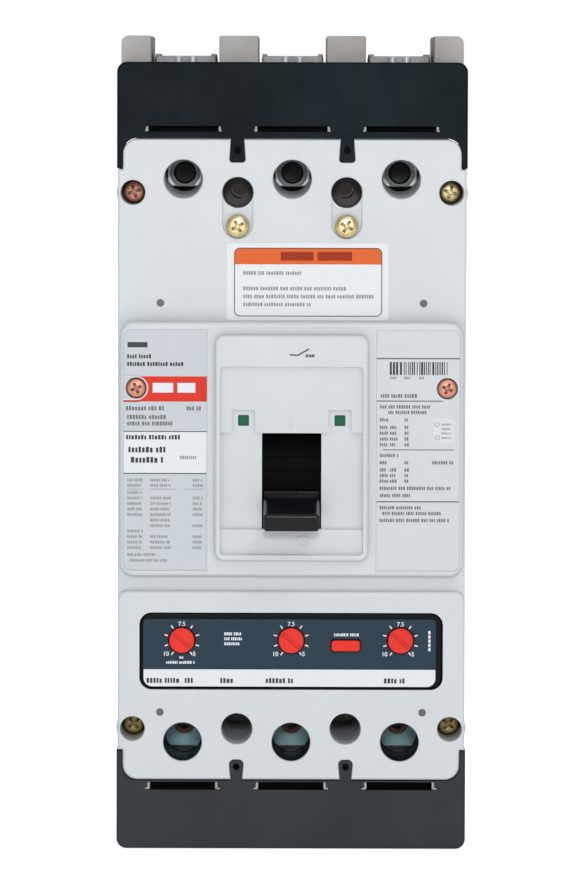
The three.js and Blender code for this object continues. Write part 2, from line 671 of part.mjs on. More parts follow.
function makeFaceplate() {
  const plate = front(roundRect(-59.6, 58.3, -91.5, -64.1, 2.2), 88.8, 89.6);
  const holes = POLES.map(([, sign]) => rodY(DIAL_RADIUS + 0.4, sign * DIAL_PITCH, DIAL_Z, 88, 91, 24));
  const button = box(BUTTON.x - 6, BUTTON.x + 6, 88, 91, BUTTON.z - 2.5, BUTTON.z + 2.5);
  return cut(plate, ...holes, button);
}

// Made on its own axis at depth 0 = the housing's front face.
function makeDial() {
  const head = rodY(DIAL_RADIUS, 0, 0, 0.4, 2.9, 24);
  const groove = box(-0.8, 0.8, 1.7, 4, -3.6, 3.6);
  return cut(join(head, rodY(2.1, 0, 0, -8, 1, 16)), groove);
}

function makeButton() {
  const { x, z, halfWidth, halfHeight } = BUTTON;
  return join(
    box(x - halfWidth, x + halfWidth, 81, 91, z - halfHeight, z + halfHeight),
    box(x - 7.2, x + 7.2, 80.4, 82.6, z - 3.2, z + 3.2),
    rodY(1.5, x, z, 68.4, 81, 12),
  );
}

function makeButtonSpring() {
  const from = new THREE.Vector3(BUTTON.x, -72.9, BUTTON.z);
  const to = new THREE.Vector3(BUTTON.x, -79.5, BUTTON.z);
  return coil(from, to, 2.6, 0.4, 4);
}

function makeTripBar() {
  const { d, z, radius, half } = TRIP_BAR;
  const paddles = POLES.map(([, sign]) => box(
    sign * POLE_PITCH - 4, sign * POLE_PITCH + 4, d, d + 11, z - 2.4, z,
  ));
  const lever = box(BUTTON.x - 2.5, BUTTON.x + 2.5, d - 1.5, d + 1.8, z, BUTTON.z + 3);
  return join(rodX(radius, -half, half, d, z), ...paddles, lever);
}

// ---------- screws: made about their seat, pointing forward ----------
function makeScrew(headRadius, headHeight, length) {
  const profile = [
    [0, -length], [SHANK_RADIUS, -length], [SHANK_RADIUS, 0], [headRadius, 0],
    [headRadius, headHeight * 0.4], [headRadius * 0.7, headHeight], [0, headHeight],
  ].map(([r, h]) => new THREE.Vector2(r, h));
  const turned = solid(new THREE.LatheGeometry(profile, 12).rotateX(Math.PI));
  const arm = headRadius * 0.52;
  const cross = join(
    box(-0.6, 0.6, headHeight * 0.35, headHeight + 1, -arm, arm),
    box(-arm, arm, headHeight * 0.35, headHeight + 1, -0.6, 0.6),
  );
  return cut(turned, cross);
}

function addScrew(name, x, d, z, turn, headRadius, headHeight, length) {
  const mesh = addMesh(name, makeScrew(headRadius, headHeight, length), ZINC_YELLOW);
  mesh.position.set(x, -d, z);
  mesh.rotation.y = turn;
}

// ---------- assembly ----------
addMesh('base', makeBase(), LIGHT_GREY);
addMesh('front_cover', makeFrontCover(), OFF_WHITE);
addMesh('handle_escutcheon', makeEscutcheon(), OFF_WHITE);
addMesh('line_terminal_cover', makeTerminalCover(1), BLACK);
addMesh('load_terminal_cover', makeTerminalCover(-1), BLACK);
addMesh('line_end_insulator', makeInsulator(1), LIGHT_GREY);
addMesh('load_end_insulator', makeInsulator(-1), LIGHT_GREY);

for (const [name, sign] of POLES) {
  const pole = addGroup(0, 0, 0, sign * POLE_PITCH);
  addMesh(`line_terminal_${name}`, makeLineLug(), ALUMINIUM, pole);
  addMesh(`load_terminal_${name}`, makeLoadLug(), ALUMINIUM, pole);
  addMesh(`line_conductor_${name}`, makeLineConductor(), COPPER, pole);
  addMesh(`load_conductor_${name}`, makeLoadConductor(), COPPER, pole);
  addMesh(`arc_chute_${name}`, makeArcChute(), STEEL, pole);
  addMesh(`bimetal_${name}`, makeBimetal(), SPRING_STEEL, pole);
  addMesh(`flexible_shunt_${name}`, makeShunt(), COPPER, pole);
}

const contacts = addGroup(CROSSBAR.d, CROSSBAR.z, OPEN_ANGLE);
addMesh('crossbar', makeCrossbar(), PHENOLIC, contacts);
for (const [name, sign] of POLES) {
  const arm = addMesh(`contact_arm_${name}`, makeContactArm(sign === 0), COPPER, contacts);
  arm.position.x = sign * POLE_PITCH;
}

addMesh('mechanism_frame', makeMechanismFrame(), STEEL);
addMesh('cradle', makeCradle(), STEEL);
addMesh('upper_toggle_link', makeUpperLink(), STEEL);
addMesh('lower_toggle_link', makeLowerLink(), STEEL);
addMesh('toggle_pin', makeTogglePin(), STEEL);
for (const [name, sign] of SIDES) {
  addMesh(`mechanism_spring_${name}`, mechanismSpring(sign), SPRING_STEEL);
}

const handleParts = addGroup(HANDLE_PIVOT.d, HANDLE_PIVOT.z, HANDLE_TILT);
addMesh('handle', makeHandle(), GLOSS_BLACK, handleParts);
addMesh('handle_barrier', makeBarrier(), GLOSS_BLACK, handleParts);
addMesh('handle_yoke', makeYoke(), STEEL, handleParts);
addMesh('position_indicator', makeIndicator(), GREEN);

addMesh('trip_unit_housing', makeTripHousing(), BLACK);
addMesh('trip_unit_faceplate', makeFaceplate(), BLUE_GREY);
for (const [name, sign] of POLES) {
  const dial = addMesh(`trip_dial_${name}`, makeDial(), RED);
  dial.position.set(sign * DIAL_PITCH, -88.5, DIAL_Z);
  dial.rotation.y = THREE.MathUtils.degToRad(130);
}
addMesh('push_to_trip_button', makeButton(), RED);
addMesh('button_spring', makeButtonSpring(), SPRING_STEEL);
addMesh('trip_bar', makeTripBar(), PHENOLIC);

for (const [name, sign] of SIDES) {
  addScrew(`line_corner_screw_${name}`, sign * CORNER_SCREW_X, CORNER_SEAT_DEPTH + GAP, LINE_MOUNT_Z,
    0.3 * sign, 4.6, 2.8, 50);
  addScrew(`load_corner_screw_${name}`, sign * CORNER_SCREW_X, CORNER_SEAT_DEPTH + GAP, LOAD_MOUNT_Z,
    0.7 * sign, 4.6, 2.8, 50);
  addScrew(`upper_cover_screw_${name}`, sign * MOUNT_X, FACE_DEPTH - 1 + GAP, UPPER_SCREW_Z,
    0.5 * sign, 4.7, 2.9, 72);
  addScrew(`panel_screw_${name}`, sign * PANEL_SCREW.x, CENTRE_DEPTH - 2.5 + GAP, PANEL_SCREW.z,
    0.4 * sign, 4, 2.4, 76);
}

export default breaker;
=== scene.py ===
"""Looks of a moulded case circuit breaker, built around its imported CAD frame.

Lengths are in millimetres, as (x, z, depth): depth runs forward from the rear face, so y = -depth.
"""
import random
from math import atan, cos, pi, radians, sin

import bmesh
import bpy
from mathutils import Matrix, Vector


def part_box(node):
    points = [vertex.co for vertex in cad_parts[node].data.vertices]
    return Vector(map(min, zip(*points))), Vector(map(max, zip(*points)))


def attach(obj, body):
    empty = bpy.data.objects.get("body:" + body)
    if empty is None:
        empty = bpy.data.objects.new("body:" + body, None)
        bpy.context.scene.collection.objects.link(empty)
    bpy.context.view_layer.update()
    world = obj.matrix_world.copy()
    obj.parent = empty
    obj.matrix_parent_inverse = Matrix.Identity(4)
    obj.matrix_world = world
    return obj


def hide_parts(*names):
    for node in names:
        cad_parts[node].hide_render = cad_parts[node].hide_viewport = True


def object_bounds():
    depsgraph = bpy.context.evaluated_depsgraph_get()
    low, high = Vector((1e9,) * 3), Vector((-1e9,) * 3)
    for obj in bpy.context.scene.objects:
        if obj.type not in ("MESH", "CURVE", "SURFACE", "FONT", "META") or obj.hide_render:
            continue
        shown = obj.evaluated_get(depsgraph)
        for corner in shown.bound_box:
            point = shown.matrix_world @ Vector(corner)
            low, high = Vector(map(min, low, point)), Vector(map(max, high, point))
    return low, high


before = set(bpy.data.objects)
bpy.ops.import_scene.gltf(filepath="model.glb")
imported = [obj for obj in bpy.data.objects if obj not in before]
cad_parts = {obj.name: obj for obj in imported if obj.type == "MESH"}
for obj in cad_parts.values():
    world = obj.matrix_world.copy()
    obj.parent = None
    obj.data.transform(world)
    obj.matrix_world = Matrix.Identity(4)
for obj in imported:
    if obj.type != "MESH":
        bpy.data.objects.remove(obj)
CAD_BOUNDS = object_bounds()
MM = 0.001
TIGHTEST = 0.35  # least cosine that offset() divides by, so that tight corners do not shoot out
FLAT = 0.99995  # cosine above which two neighbouring faces count as one flat region


def node_box(node):
    """A node's box in millimetres: x0, x1, z0, z1, back depth, front depth."""
    low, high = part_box(node)
    return (low.x / MM, high.x / MM, low.z / MM, high.z / MM, -high.y / MM, -low.y / MM)


# ---------- flat outlines, counter-clockwise, in x and z ----------
def arc(cx, cz, radius, start, end, steps):
    angles = [radians(start + (end - start) * i / steps) for i in range(steps + 1)]
    return [(cx + radius * cos(a), cz + radius * sin(a)) for a in angles]


def circle(cx, cz, radius, steps=48):
    return arc(cx, cz, radius, 0, 360 - 360 / steps, steps - 1)


def round_rect(x0, x1, z0, z1, radius, steps=7):
    r = radius
    return (arc(x1 - r, z0 + r, r, -90, 0, steps) + arc(x1 - r, z1 - r, r, 0, 90, steps)
            + arc(x0 + r, z1 - r, r, 90, 180, steps) + arc(x0 + r, z0 + r, r, 180, 270, steps))


def rect(x0, x1, z0, z1):
    return [(x0, z0), (x1, z0), (x1, z1), (x0, z1)]


def obround(cx, z0, z1, radius, steps=20):
    return arc(cx, z1 - radius, radius, 0, 180, steps) + arc(cx, z0 + radius, radius, 180, 360, steps)


def mirrored(loop, x_sign=1, z_sign=1):
    """The loop flipped across the axes whose sign is negative, still counter-clockwise."""
    flipped = [(x_sign * x, z_sign * z) for x, z in loop]
    return flipped if x_sign * z_sign > 0 else flipped[::-1]


def offset(loop, distance):
    """The loop moved towards its inside."""
    moved = []
    count = len(loop)
    for i in range(count):
        before, here, after = (Vector(loop[(i + k) % count]) for k in (-1, 0, 1))
        first, second = (here - before).normalized(), (after - here).normalized()
        n0, n1 = Vector((-first.y, first.x)), Vector((-second.y, second.x))
        normal = (n0 + n1).normalized()
        moved.append(tuple(here + normal * (distance / max(TIGHTEST, normal.dot(n0)))))
    return moved


# ---------- meshes ----------
def linked(name, data):
    obj = bpy.data.objects.new(name, data)
    bpy.context.scene.collection.objects.link(obj)
    return obj


def as_object(bm):
    mesh = bpy.data.meshes.new("solid")
    bm.to_mesh(mesh)
    bm.free()
    return linked("solid", mesh)


def to_object(bm):
    bmesh.ops.remove_doubles(bm, verts=bm.verts, dist=1e-7)
    bmesh.ops.recalc_face_normals(bm, faces=bm.faces)
    return as_object(bm)


def facing_front(x, z, depth):
    return Vector((x, -depth, z)) * MM


def facing_side(depth, z, x):
    return Vector((x, -depth, z)) * MM


def stations(back, front, edge, back_edge, steps):
    """Inset and depth of each ring of a prism with rounded front and back edges."""
    turns = [pi / 2 * k / steps for k in range(steps + 1)]
    low, high = [(0, back)], [(0, front)]
    if back_edge > 0:
        low = [(back_edge * (1 - sin(a)), back + back_edge * (1 - cos(a))) for a in turns]
    if edge > 0:
        high = [(edge * (1 - cos(a)), front - edge * (1 - sin(a))) for a in turns]
    return low + high


def quads(bm, low, high):
    """The band of faces between two rings of corners."""
    for i in range(len(low)):
        j = (i + 1) % len(low)
        bm.faces.new((low[i], low[j], high[j], high[i]))


def prism(outer, back, front, holes=(), edge=0.5, back_edge=0.3, steps=4, place=facing_front):
    """A plate of that outline between two depths, with rounded edges. Holes are outlines too."""
    bm = bmesh.new()
    first_edges, last_edges = [], []
    for index, loop in enumerate([outer, *holes]):
        sign = 1 if index == 0 else -1
        rings = []
        for inset, depth in stations(back, front, edge, back_edge, steps):
            points = offset(loop, sign * inset) if inset else loop
            rings.append([bm.verts.new(place(a, b, depth)) for a, b in points])
        for low, high in zip(rings, rings[1:]):
            quads(bm, low, high)
        for ring, store in ((rings[0], first_edges), (rings[-1], last_edges)):
            store += [bm.edges.get(pair) for pair in zip(ring, ring[1:] + ring[:1])]
    for store in (first_edges, last_edges):
        bmesh.ops.triangle_fill(bm, use_beauty=True, edges=store)
    return to_object(bm)


def sharp(outer, back, front, holes=(), edge=0, back_edge=0, **more):
    """A plate with plain edges, mostly a cutter."""
    return prism(outer, back, front, holes, edge, back_edge, **more)


def lathe(profile, x=0, z=0, depth=0, steps=40):
    """A turned solid about the depth axis. The profile of (radius, depth) is closed, or meets the axis."""
    bm = bmesh.new()
    rings = []
    for radius, d in profile:
        if radius < 1e-6:
            rings.append([bm.verts.new(facing_front(x, z, depth + d))])
        else:
            ring = circle(x, z, radius, steps)
            rings.append([bm.verts.new(facing_front(a, b, depth + d)) for a, b in ring])
    for low, high in zip(rings, rings[1:]):
        for i in range(steps):
            j = (i + 1) % steps
            corners = [low[i % len(low)], low[j % len(low)], high[j % len(high)], high[i % len(high)]]
            corners = list(dict.fromkeys(corners))
            if len(corners) > 2:
                bm.faces.new(corners)
    return to_object(bm)


def bore(x, z, radius, back, front, flare=0.5, steps=48):
    """A cutter for a round hole whose rim is rounded into the face at depth front."""
    profile, ease = [(0, back), (radius, back)], 4
    for k in range(ease + 1):
        a = pi / 2 * k / ease
        profile.append((radius + flare * (1 - cos(a)), front - flare * (1 - sin(a))))
    profile += [(radius + flare, front + 2), (0, front + 2)]
    return lathe(profile, x, z, 0, steps)


def join(objects):
    """Several separate solids as one object."""
    bm = bmesh.new()
    for obj in objects:
        bm.from_mesh(obj.data)
        bpy.data.objects.remove(obj)
    return as_object(bm)


def evaluated_mesh(obj):
    bpy.context.view_layer.update()
    return bpy.data.meshes.new_from_object(obj.evaluated_get(bpy.context.evaluated_depsgraph_get()))


def boolean(target, tools, operation):
    for tool in tools:
        modifier = target.modifiers.new("boolean", "BOOLEAN")
        modifier.operation = operation
        modifier.solver = "MANIFOLD"
        modifier.object = tool
        result = evaluated_mesh(target)
        target.modifiers.clear()
        target.data = result
        bpy.data.objects.remove(tool)


def add(target, *tools):
    boolean(target, tools, "UNION")


def cut(target, *tools):
    boolean(target, tools, "DIFFERENCE")


def polished(node, width, segments, angle):
    """A copy of a CAD node with its coplanar facets merged and its sharp edges rounded."""
    bm = bmesh.new()
    bm.from_mesh(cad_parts[node].data)
    bm.transform(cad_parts[node].matrix_world)
    bmesh.ops.remove_doubles(bm, verts=bm.verts, dist=1e-6)
    bmesh.ops.dissolve_limit(bm, angle_limit=radians(1.5), verts=bm.verts, edges=bm.edges)
    creases = [e for e in bm.edges if len(e.link_faces) == 2 and e.calc_face_angle(0) > radians(angle)]
    bmesh.ops.bevel(bm, geom=creases, offset=width * MM, offset_type="OFFSET", segments=segments,
                    profile=0.5, affect="EDGES", clamp_overlap=True)
    bmesh.ops.triangulate(bm, faces=[f for f in bm.faces if len(f.verts) > 4])
    return to_object(bm)


def flat_regions(bm):
    """The area of the flat region that each face belongs to."""
    region, areas = {}, []
    for first in bm.faces:
        if first in region:
            continue
        region[first] = len(areas)
        stack, total = [first], 0
        while stack:
            face = stack.pop()
            total += face.calc_area()
            for edge in face.edges:
                for other in edge.link_faces:
                    if other not in region and face.normal.dot(other.normal) > FLAT:
                        region[other] = len(areas)
                        stack.append(other)
        areas.append(total)
    return {face: areas[index] for face, index in region.items()}


def smooth_group(start, remaining, limit):
    """The corners at one vertex that are reached from start without crossing a sharp edge."""
    group, stack = [start], [start]
    while stack:
        corner = stack.pop()
        for edge in (corner.edge, corner.link_loop_prev.edge):
            for face in edge.link_faces:
                if face is corner.face or corner.face.normal.dot(face.normal) < limit:
                    continue
                for other in [c for c in remaining if c.face is face]:
                    remaining.discard(other)
                    group.append(other)
                    stack.append(other)
    return group


def smooth(obj, angle=35):
    """Smooth shading in which each flat area keeps its own normal right up to its rounded edges."""
    mesh = obj.data
    mesh.shade_smooth()
    bm = bmesh.new()
    bm.from_mesh(mesh)
    bm.normal_update()
    areas = flat_regions(bm)
    limit = cos(radians(angle))
    corner_normals = {}
    for vert in bm.verts:
        remaining = set(vert.link_loops)
        while remaining:
            group = smooth_group(remaining.pop(), remaining, limit)
            normal = sum((c.face.normal * areas[c.face] ** 2 * 1e9 for c in group), Vector()).normalized()
            for corner in group:
                corner_normals[corner] = normal
    ordered = [corner_normals[corner] for face in bm.faces for corner in face.loops]
    bm.free()
    mesh.normals_split_custom_set(ordered)


def piece(obj, name, slot, material, *nodes, body="case", angle=35):
    """Names a finished piece, gives it its looks and says which body it rides and what it replaces."""
    obj.name = name
    obj.data.name = name
    obj.data.materials.clear()
    obj.data.materials.append(material)
    smooth(obj, angle)
    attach(obj, body)
    if nodes:
        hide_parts(*nodes)


# ---------- materials ----------
def new_material(name):
    material = bpy.data.materials.new(name)
    material.use_nodes = True
    return material, material.node_tree, material.node_tree.nodes["Principled BSDF"]


def feed(tree, node, **inputs):
    """Links or sets a node's inputs by name, with _ for a space."""
    for name, value in inputs.items():
        socket = node.inputs[name.replace("_", " ")]
        if isinstance(value, bpy.types.NodeSocket):
            tree.links.new(value, socket)
        elif socket.type == "RGBA":
            socket.default_value = (*value, 1)
        else:
            socket.default_value = value
    return node


def add_node(tree, kind, **inputs):
    return feed(tree, tree.nodes.new("ShaderNode" + kind), **inputs)


def noise(tree, scale, detail=4, rough=0.6, distortion=0.0, stretch=(1, 1, 1)):
    place = add_node(tree, "Mapping", Vector=add_node(tree, "TexCoord").outputs["Object"], Scale=stretch)
    return add_node(tree, "TexNoise", Vector=place.outputs["Vector"], Scale=scale, Detail=detail,
                    Roughness=rough, Distortion=distortion).outputs


def remap(tree, source, low, high, start=0.3, end=0.7):
    return add_node(tree, "MapRange", Value=source, From_Min=start, From_Max=end, To_Min=low,
                    To_Max=high).outputs["Result"]


def scaled(tree, value, factor):
    product = add_node(tree, "Math")
    product.operation = "MULTIPLY"
    product.inputs[1].default_value = factor
    tree.links.new(value, product.inputs[0])
    return product.outputs[0]


def mix_colors(tree, factor, first, second):
    mixer = add_node(tree, "Mix")
    mixer.data_type = "RGBA"
    return feed(tree, mixer, Factor=factor, A=first, B=second).outputs["Result"]


def mix_shaders(tree, factor, first, second, output):
    """Shows the first shader where the factor is 0 and the second where it is 1."""
    mixer = add_node(tree, "MixShader", Fac=factor)
    tree.links.new(first, mixer.inputs[1])
    tree.links.new(second, mixer.inputs[2])
    tree.links.new(mixer.outputs["Shader"], tree.nodes[output].inputs["Surface"])


def edge_mask(tree):
    """Bright where the surface turns a corner, where handling wears it."""
    rounded = add_node(tree, "Bevel", Radius=0.5 * MM)
    rounded.samples = 4
    agreement = add_node(tree, "VectorMath")
    agreement.operation = "DOT_PRODUCT"
    tree.links.new(rounded.outputs["Normal"], agreement.inputs[0])
    tree.links.new(add_node(tree, "NewGeometry").outputs["Normal"], agreement.inputs[1])
    return remap(tree, agreement.outputs["Value"], 1, 0, 0.8, 0.995)


def occlusion_shade_mask(tree, distance=0.006):
    # Ambient occlusion as a mask: it marks where shade falls and is used to paint shade, along with dust or
    # grime, into crevices and recesses.
    occlusion = add_node(tree, "AmbientOcclusion", Distance=distance)
    occlusion.samples = 6
    return remap(tree, occlusion.outputs["AO"], 1, 0, 0.35, 1.0)


def bump(tree, shader, heights, strength=0.3):
    """Chains several height sources, each (socket, distance in mm)."""
    chained = {}
    for height, distance in heights:
        node = add_node(tree, "Bump", Height=height, Strength=strength, Distance=distance * MM, **chained)
        chained = {"Normal": node.outputs["Normal"]}
    feed(tree, shader, **chained)


def plastic(name, color, shade, worn, roughness=0.42, grain=0.06, tint=0.35, dust_and_shade=0.25, wear=0.25,
            gloss=0.5, streak=1.0):
    """Moulded plastic: slow colour drift, fine moulded grain, crevices darkened by dust and painted shade,
    and paler worn edges.
    """
    material, tree, shader = new_material(name)
    drift = noise(tree, 28, 3, 0.55, 0, (1, 1, streak))["Fac"]
    speckle = noise(tree, 900, 2, 0.5)["Fac"]
    base = mix_colors(tree, remap(tree, drift, 0, tint), color, shade)
    base = mix_colors(tree, remap(tree, speckle, 0, 0.12, 0.45, 0.75), base, shade)
    # Crevices darkened by occlusion: dust and painted shade.
    base = mix_colors(tree, scaled(tree, occlusion_shade_mask(tree), dust_and_shade), base, tuple(c * 0.55 for c in shade))
    base = mix_colors(tree, scaled(tree, edge_mask(tree), wear), base, worn)
    smudge = noise(tree, 45, 5, 0.65, 0.4)["Fac"]
    feed(tree, shader, Base_Color=base, Roughness=remap(tree, smudge, roughness - 0.06, roughness + 0.08),
         Specular_IOR_Level=gloss)
    bump(tree, shader, [(noise(tree, 60, 2, 0.5)["Fac"], 0.25), (noise(tree, 1400, 3, 0.6)["Fac"], grain)])
    return material


def metal(name, color, tarnish, roughness=0.3, metallic=1.0, brush=(1, 1, 1), brush_scale=500,
          patch=40, grime_and_shade=0.6, reach=0.004):
    """Plated or bare metal: patchy tarnish, fine marks, grime and painted shade in recesses, and brighter
    rubbed edges.
    """
    scratch = 0.03
    material, tree, shader = new_material(name)
    patches = noise(tree, patch, 5, 0.6, 0.5)
    bright = tuple(min(1, c * 1.35 + 0.03) for c in color)
    base = mix_colors(tree, remap(tree, patches["Fac"], 0, 0.6), color, tarnish)
    base = mix_colors(tree, scaled(tree, edge_mask(tree), 0.4), base, bright)
    # Darkened towards black in recesses by occlusion: grime and painted shade.
    dark = tuple(c * 0.12 for c in tarnish)
    base = mix_colors(tree, scaled(tree, occlusion_shade_mask(tree, reach), grime_and_shade), base, dark)
    marks = noise(tree, brush_scale, 3, 0.6, 0, brush)
    mottled = add_node(tree, "RGBToBW", Color=mix_colors(tree, 0.5, marks["Color"], patches["Color"]))
    finish = remap(tree, mottled.outputs["Val"], roughness - 0.1, roughness + 0.16)
    feed(tree, shader, Base_Color=base, Metallic=metallic, Roughness=finish)
    bump(tree, shader, [(marks["Fac"], scratch), (patches["Fac"], scratch * 2)])
    return material


def printed(name, color, second, roughness=0.45, scale=300, gloss=0.35):
    """Ink or label stock: a faint uneven lay-down with a paper or film grain."""
    material, tree, shader = new_material(name)
    lay = noise(tree, scale, 4, 0.6)["Fac"]
    feed(tree, shader, Base_Color=mix_colors(tree, remap(tree, lay, 0, 0.3), color, second),
         Roughness=remap(tree, lay, roughness - 0.05, roughness + 0.07), Specular_IOR_Level=gloss)
    bump(tree, shader, [(lay, 0.01)], 0.2)
    return material


OFF_WHITE = plastic(
    "off_white_plastic", (0.60, 0.63, 0.65), (0.55, 0.585, 0.605), (0.74, 0.76, 0.77), 0.42, dust_and_shade=0.3)
COVER_GREY = plastic("light_grey_plastic", (0.52, 0.54, 0.55), (0.45, 0.47, 0.48), (0.65, 0.67, 0.68), 0.5)
STAINED_GREY = plastic(
    "stained_grey_plastic", (0.50, 0.50, 0.49), (0.36, 0.29, 0.25), (0.62, 0.62, 0.61), 0.5, tint=0.75,
    dust_and_shade=0.6)
LINE_BLACK = plastic(
    "line_black_plastic", (0.0015, 0.0032, 0.0055), (0.005, 0.015, 0.02), (0.03, 0.035, 0.04), 0.5,
    grain=0.1, tint=0.8, dust_and_shade=0.1, wear=0.2, gloss=0.09, streak=0.12)
LOAD_BLACK = plastic(
    "load_black_plastic", (0.016, 0.021, 0.024), (0.024, 0.031, 0.035), (0.06, 0.065, 0.07), 0.5,
    grain=0.1, tint=0.7, dust_and_shade=0.1, wear=0.25, gloss=0.24)
BLACK = plastic(
    "black_plastic", (0.003, 0.003, 0.004), (0.006, 0.006, 0.007), (0.03, 0.03, 0.032), 0.4, grain=0.08,
    tint=0.7, dust_and_shade=0.1, wear=0.3, gloss=0.1)
GLOSS_BLACK = plastic(
    "gloss_black_plastic", (0.004, 0.004, 0.006), (0.008, 0.008, 0.011), (0.04, 0.04, 0.045), 0.28,
    grain=0.03, tint=0.5, dust_and_shade=0.0, wear=0.25, gloss=0.25)
# Near-black with almost no gloss: painted shade. It is used for the liners, plates and plugs set in holes
# and slots, and for the handle's barrier, which is kept darker because it lies in shade.
SHADE_BLACK = plastic(
    "shade_black_plastic", (0.0008, 0.0006, 0.001), (0.003, 0.0025, 0.0035), (0.015, 0.015, 0.016), 0.45,
    grain=0.06, tint=0.5, dust_and_shade=0.3, wear=0.2, gloss=0.03)
RED = plastic(
    "red_plastic", (0.80, 0.030, 0.018), (0.66, 0.022, 0.015), (0.9, 0.12, 0.08), 0.42, tint=0.4,
    gloss=0.2, dust_and_shade=0.5)
FLAG_GREEN = plastic(
    "green_flag", (0.004, 0.22, 0.085), (0.003, 0.15, 0.06), (0.02, 0.3, 0.15), 0.4, gloss=0.2)
FLAG_WHITE = plastic("white_flag", (0.75, 0.75, 0.72), (0.65, 0.65, 0.62), (0.8, 0.8, 0.8), 0.4)
FLAG_RED = plastic("red_flag", (0.6, 0.03, 0.02), (0.45, 0.02, 0.02), (0.8, 0.1, 0.1), 0.4)
PIN_GREY = plastic("pin_grey", (0.11, 0.11, 0.12), (0.07, 0.07, 0.08), (0.3, 0.3, 0.31), 0.45)
BROWN = plastic(
    "brown_moulding", (0.06, 0.048, 0.046), (0.04, 0.033, 0.031), (0.2, 0.17, 0.16), 0.5, tint=0.6,
    dust_and_shade=0.2)
PHENOLIC = plastic("phenolic", (0.05, 0.03, 0.022), (0.08, 0.05, 0.035), (0.2, 0.13, 0.09), 0.5, tint=0.8)
STEEL = metal("plated_steel", (0.58, 0.60, 0.62), (0.40, 0.42, 0.44), 0.34)
SPRING = metal("spring_steel", (0.66, 0.67, 0.69), (0.45, 0.46, 0.48), 0.24, brush_scale=900)
# Strong, short-reach occlusion darkening in these three: painted shade in the screws' cross recesses.
YELLOW_ZINC = metal(
    "yellow_zinc", (0.66, 0.58, 0.30), (0.50, 0.30, 0.15), 0.3, metallic=0.75, patch=420, brush_scale=1500,
    grime_and_shade=0.95, reach=0.0015)
COPPERY = metal(
    "coppery_zinc", (0.66, 0.29, 0.21), (0.50, 0.20, 0.12), 0.4, metallic=0.5, patch=420, brush_scale=1500,
    grime_and_shade=0.95, reach=0.0015)
OLIVE_ZINC = metal(
    "olive_zinc", (0.36, 0.33, 0.11), (0.42, 0.22, 0.08), 0.36, metallic=0.5, patch=420, brush_scale=1500,
    grime_and_shade=0.95, reach=0.0015)
# Its long occlusion reach darkens the conductors deep inside the case: painted shade.
COPPER = metal(
    "copper", (0.62, 0.33, 0.20), (0.36, 0.22, 0.15), 0.34, brush=(1, 1, 8), grime_and_shade=0.95, reach=0.03)
TINNED_COPPER = metal(
    "tinned_copper", (0.20, 0.33, 0.35), (0.11, 0.20, 0.22), 0.36, patch=90, grime_and_shade=0.5, reach=0.002)
ALUMINIUM = metal(
    "aluminium", (0.72, 0.73, 0.74), (0.58, 0.6, 0.62), 0.34, brush=(12, 1, 1), brush_scale=350)
DULL_ZINC = metal(
    "dull_zinc", (0.44, 0.43, 0.43), (0.27, 0.26, 0.26), 0.55, metallic=0.4, patch=160, grime_and_shade=0.4)
# A paler copy of the dull zinc: painted highlight, for the line tangs and the shining spots on the lugs.
HIGHLIGHT_ZINC = metal(
    "highlight_zinc", (0.66, 0.70, 0.72), (0.45, 0.50, 0.52), 0.42, metallic=0.45, patch=160, grime_and_shade=0.5,
    reach=0.002)
# Near-black steel: painted shade for the screws deep in the tangs' bores.
SHADE_STEEL = metal(
    "shade_steel", (0.009, 0.009, 0.008), (0.004, 0.004, 0.004), 0.4, metallic=0.8, patch=200, grime_and_shade=0.5,
    reach=0.002)
DARK_COPPER = metal(
    "dark_copper", (0.22, 0.10, 0.06), (0.12, 0.06, 0.04), 0.45, metallic=0.6, patch=200, grime_and_shade=0.6,
    reach=0.003)
LABEL_GREY = printed("label_grey_green", (0.535, 0.572, 0.60), (0.50, 0.535, 0.562), 0.42)
LABEL_PALE = printed("label_pale_grey", (0.585, 0.62, 0.645), (0.55, 0.585, 0.61), 0.42)
PATCH_PALE = printed("patch_pale_grey", (0.65, 0.68, 0.70), (0.61, 0.64, 0.66), 0.42)
LABEL_WHITE = printed("label_white", (0.72, 0.745, 0.77), (0.67, 0.695, 0.72), 0.38)
LABEL_RED = printed("label_red", (0.67, 0.028, 0.009), (0.61, 0.024, 0.008), 0.4, gloss=0.2)
LABEL_BROWN = printed("label_brown", (0.34, 0.028, 0.007), (0.29, 0.024, 0.006), 0.4, gloss=0.12)
LABEL_ORANGE = printed("label_orange", (0.71, 0.118, 0.015), (0.65, 0.105, 0.013), 0.4, gloss=0.2)
PLATE_BLUE = printed("plate_blue_grey", (0.019, 0.043, 0.063), (0.026, 0.054, 0.078), 0.4, 500, gloss=0.12)
INK = printed("dark_ink", (0.03, 0.032, 0.036), (0.06, 0.062, 0.066), 0.5)
INK_GREY = printed("grey_ink", (0.13, 0.14, 0.15), (0.2, 0.21, 0.22), 0.5)
INK_PALE = printed("pale_ink", (0.24, 0.255, 0.27), (0.32, 0.335, 0.35), 0.5)
INK_WHITE = printed("white_ink", (0.75, 0.78, 0.8), (0.6, 0.64, 0.68), 0.45)

# ---------- sizes that the pieces share ----------
FACE = 90
CENTRE = 96
BODY_X0, BODY_X1, BODY_Z0, BODY_Z1, SPLIT, _ = node_box("front_cover")
INSET = 1.9
LEG_FROM = 117
WALL_FROM = 129.4
POLE = 43.7
POLES = (("left", -1), ("centre", 0), ("right", 1))
SIDES = (("left", -1), ("right", 1))
ACCESS = 7.75
ACCESS_Z = (113, -113.7)
MOUNT_X = 21.85
MOUNT_Z = (107.6, -108.4)
MOUNT = 6.25
TAB_X = 22
WINDOW_X = 19.3
CORNER_X = 63.9
PANEL_SCREW = (62.3, 29.4)
LINE_TAB = (119.8, 131.1, 3.15, 2.45, 1.2)
LOAD_TAB = (121.0, 129.8, 2.8, 2.15, 1.9)


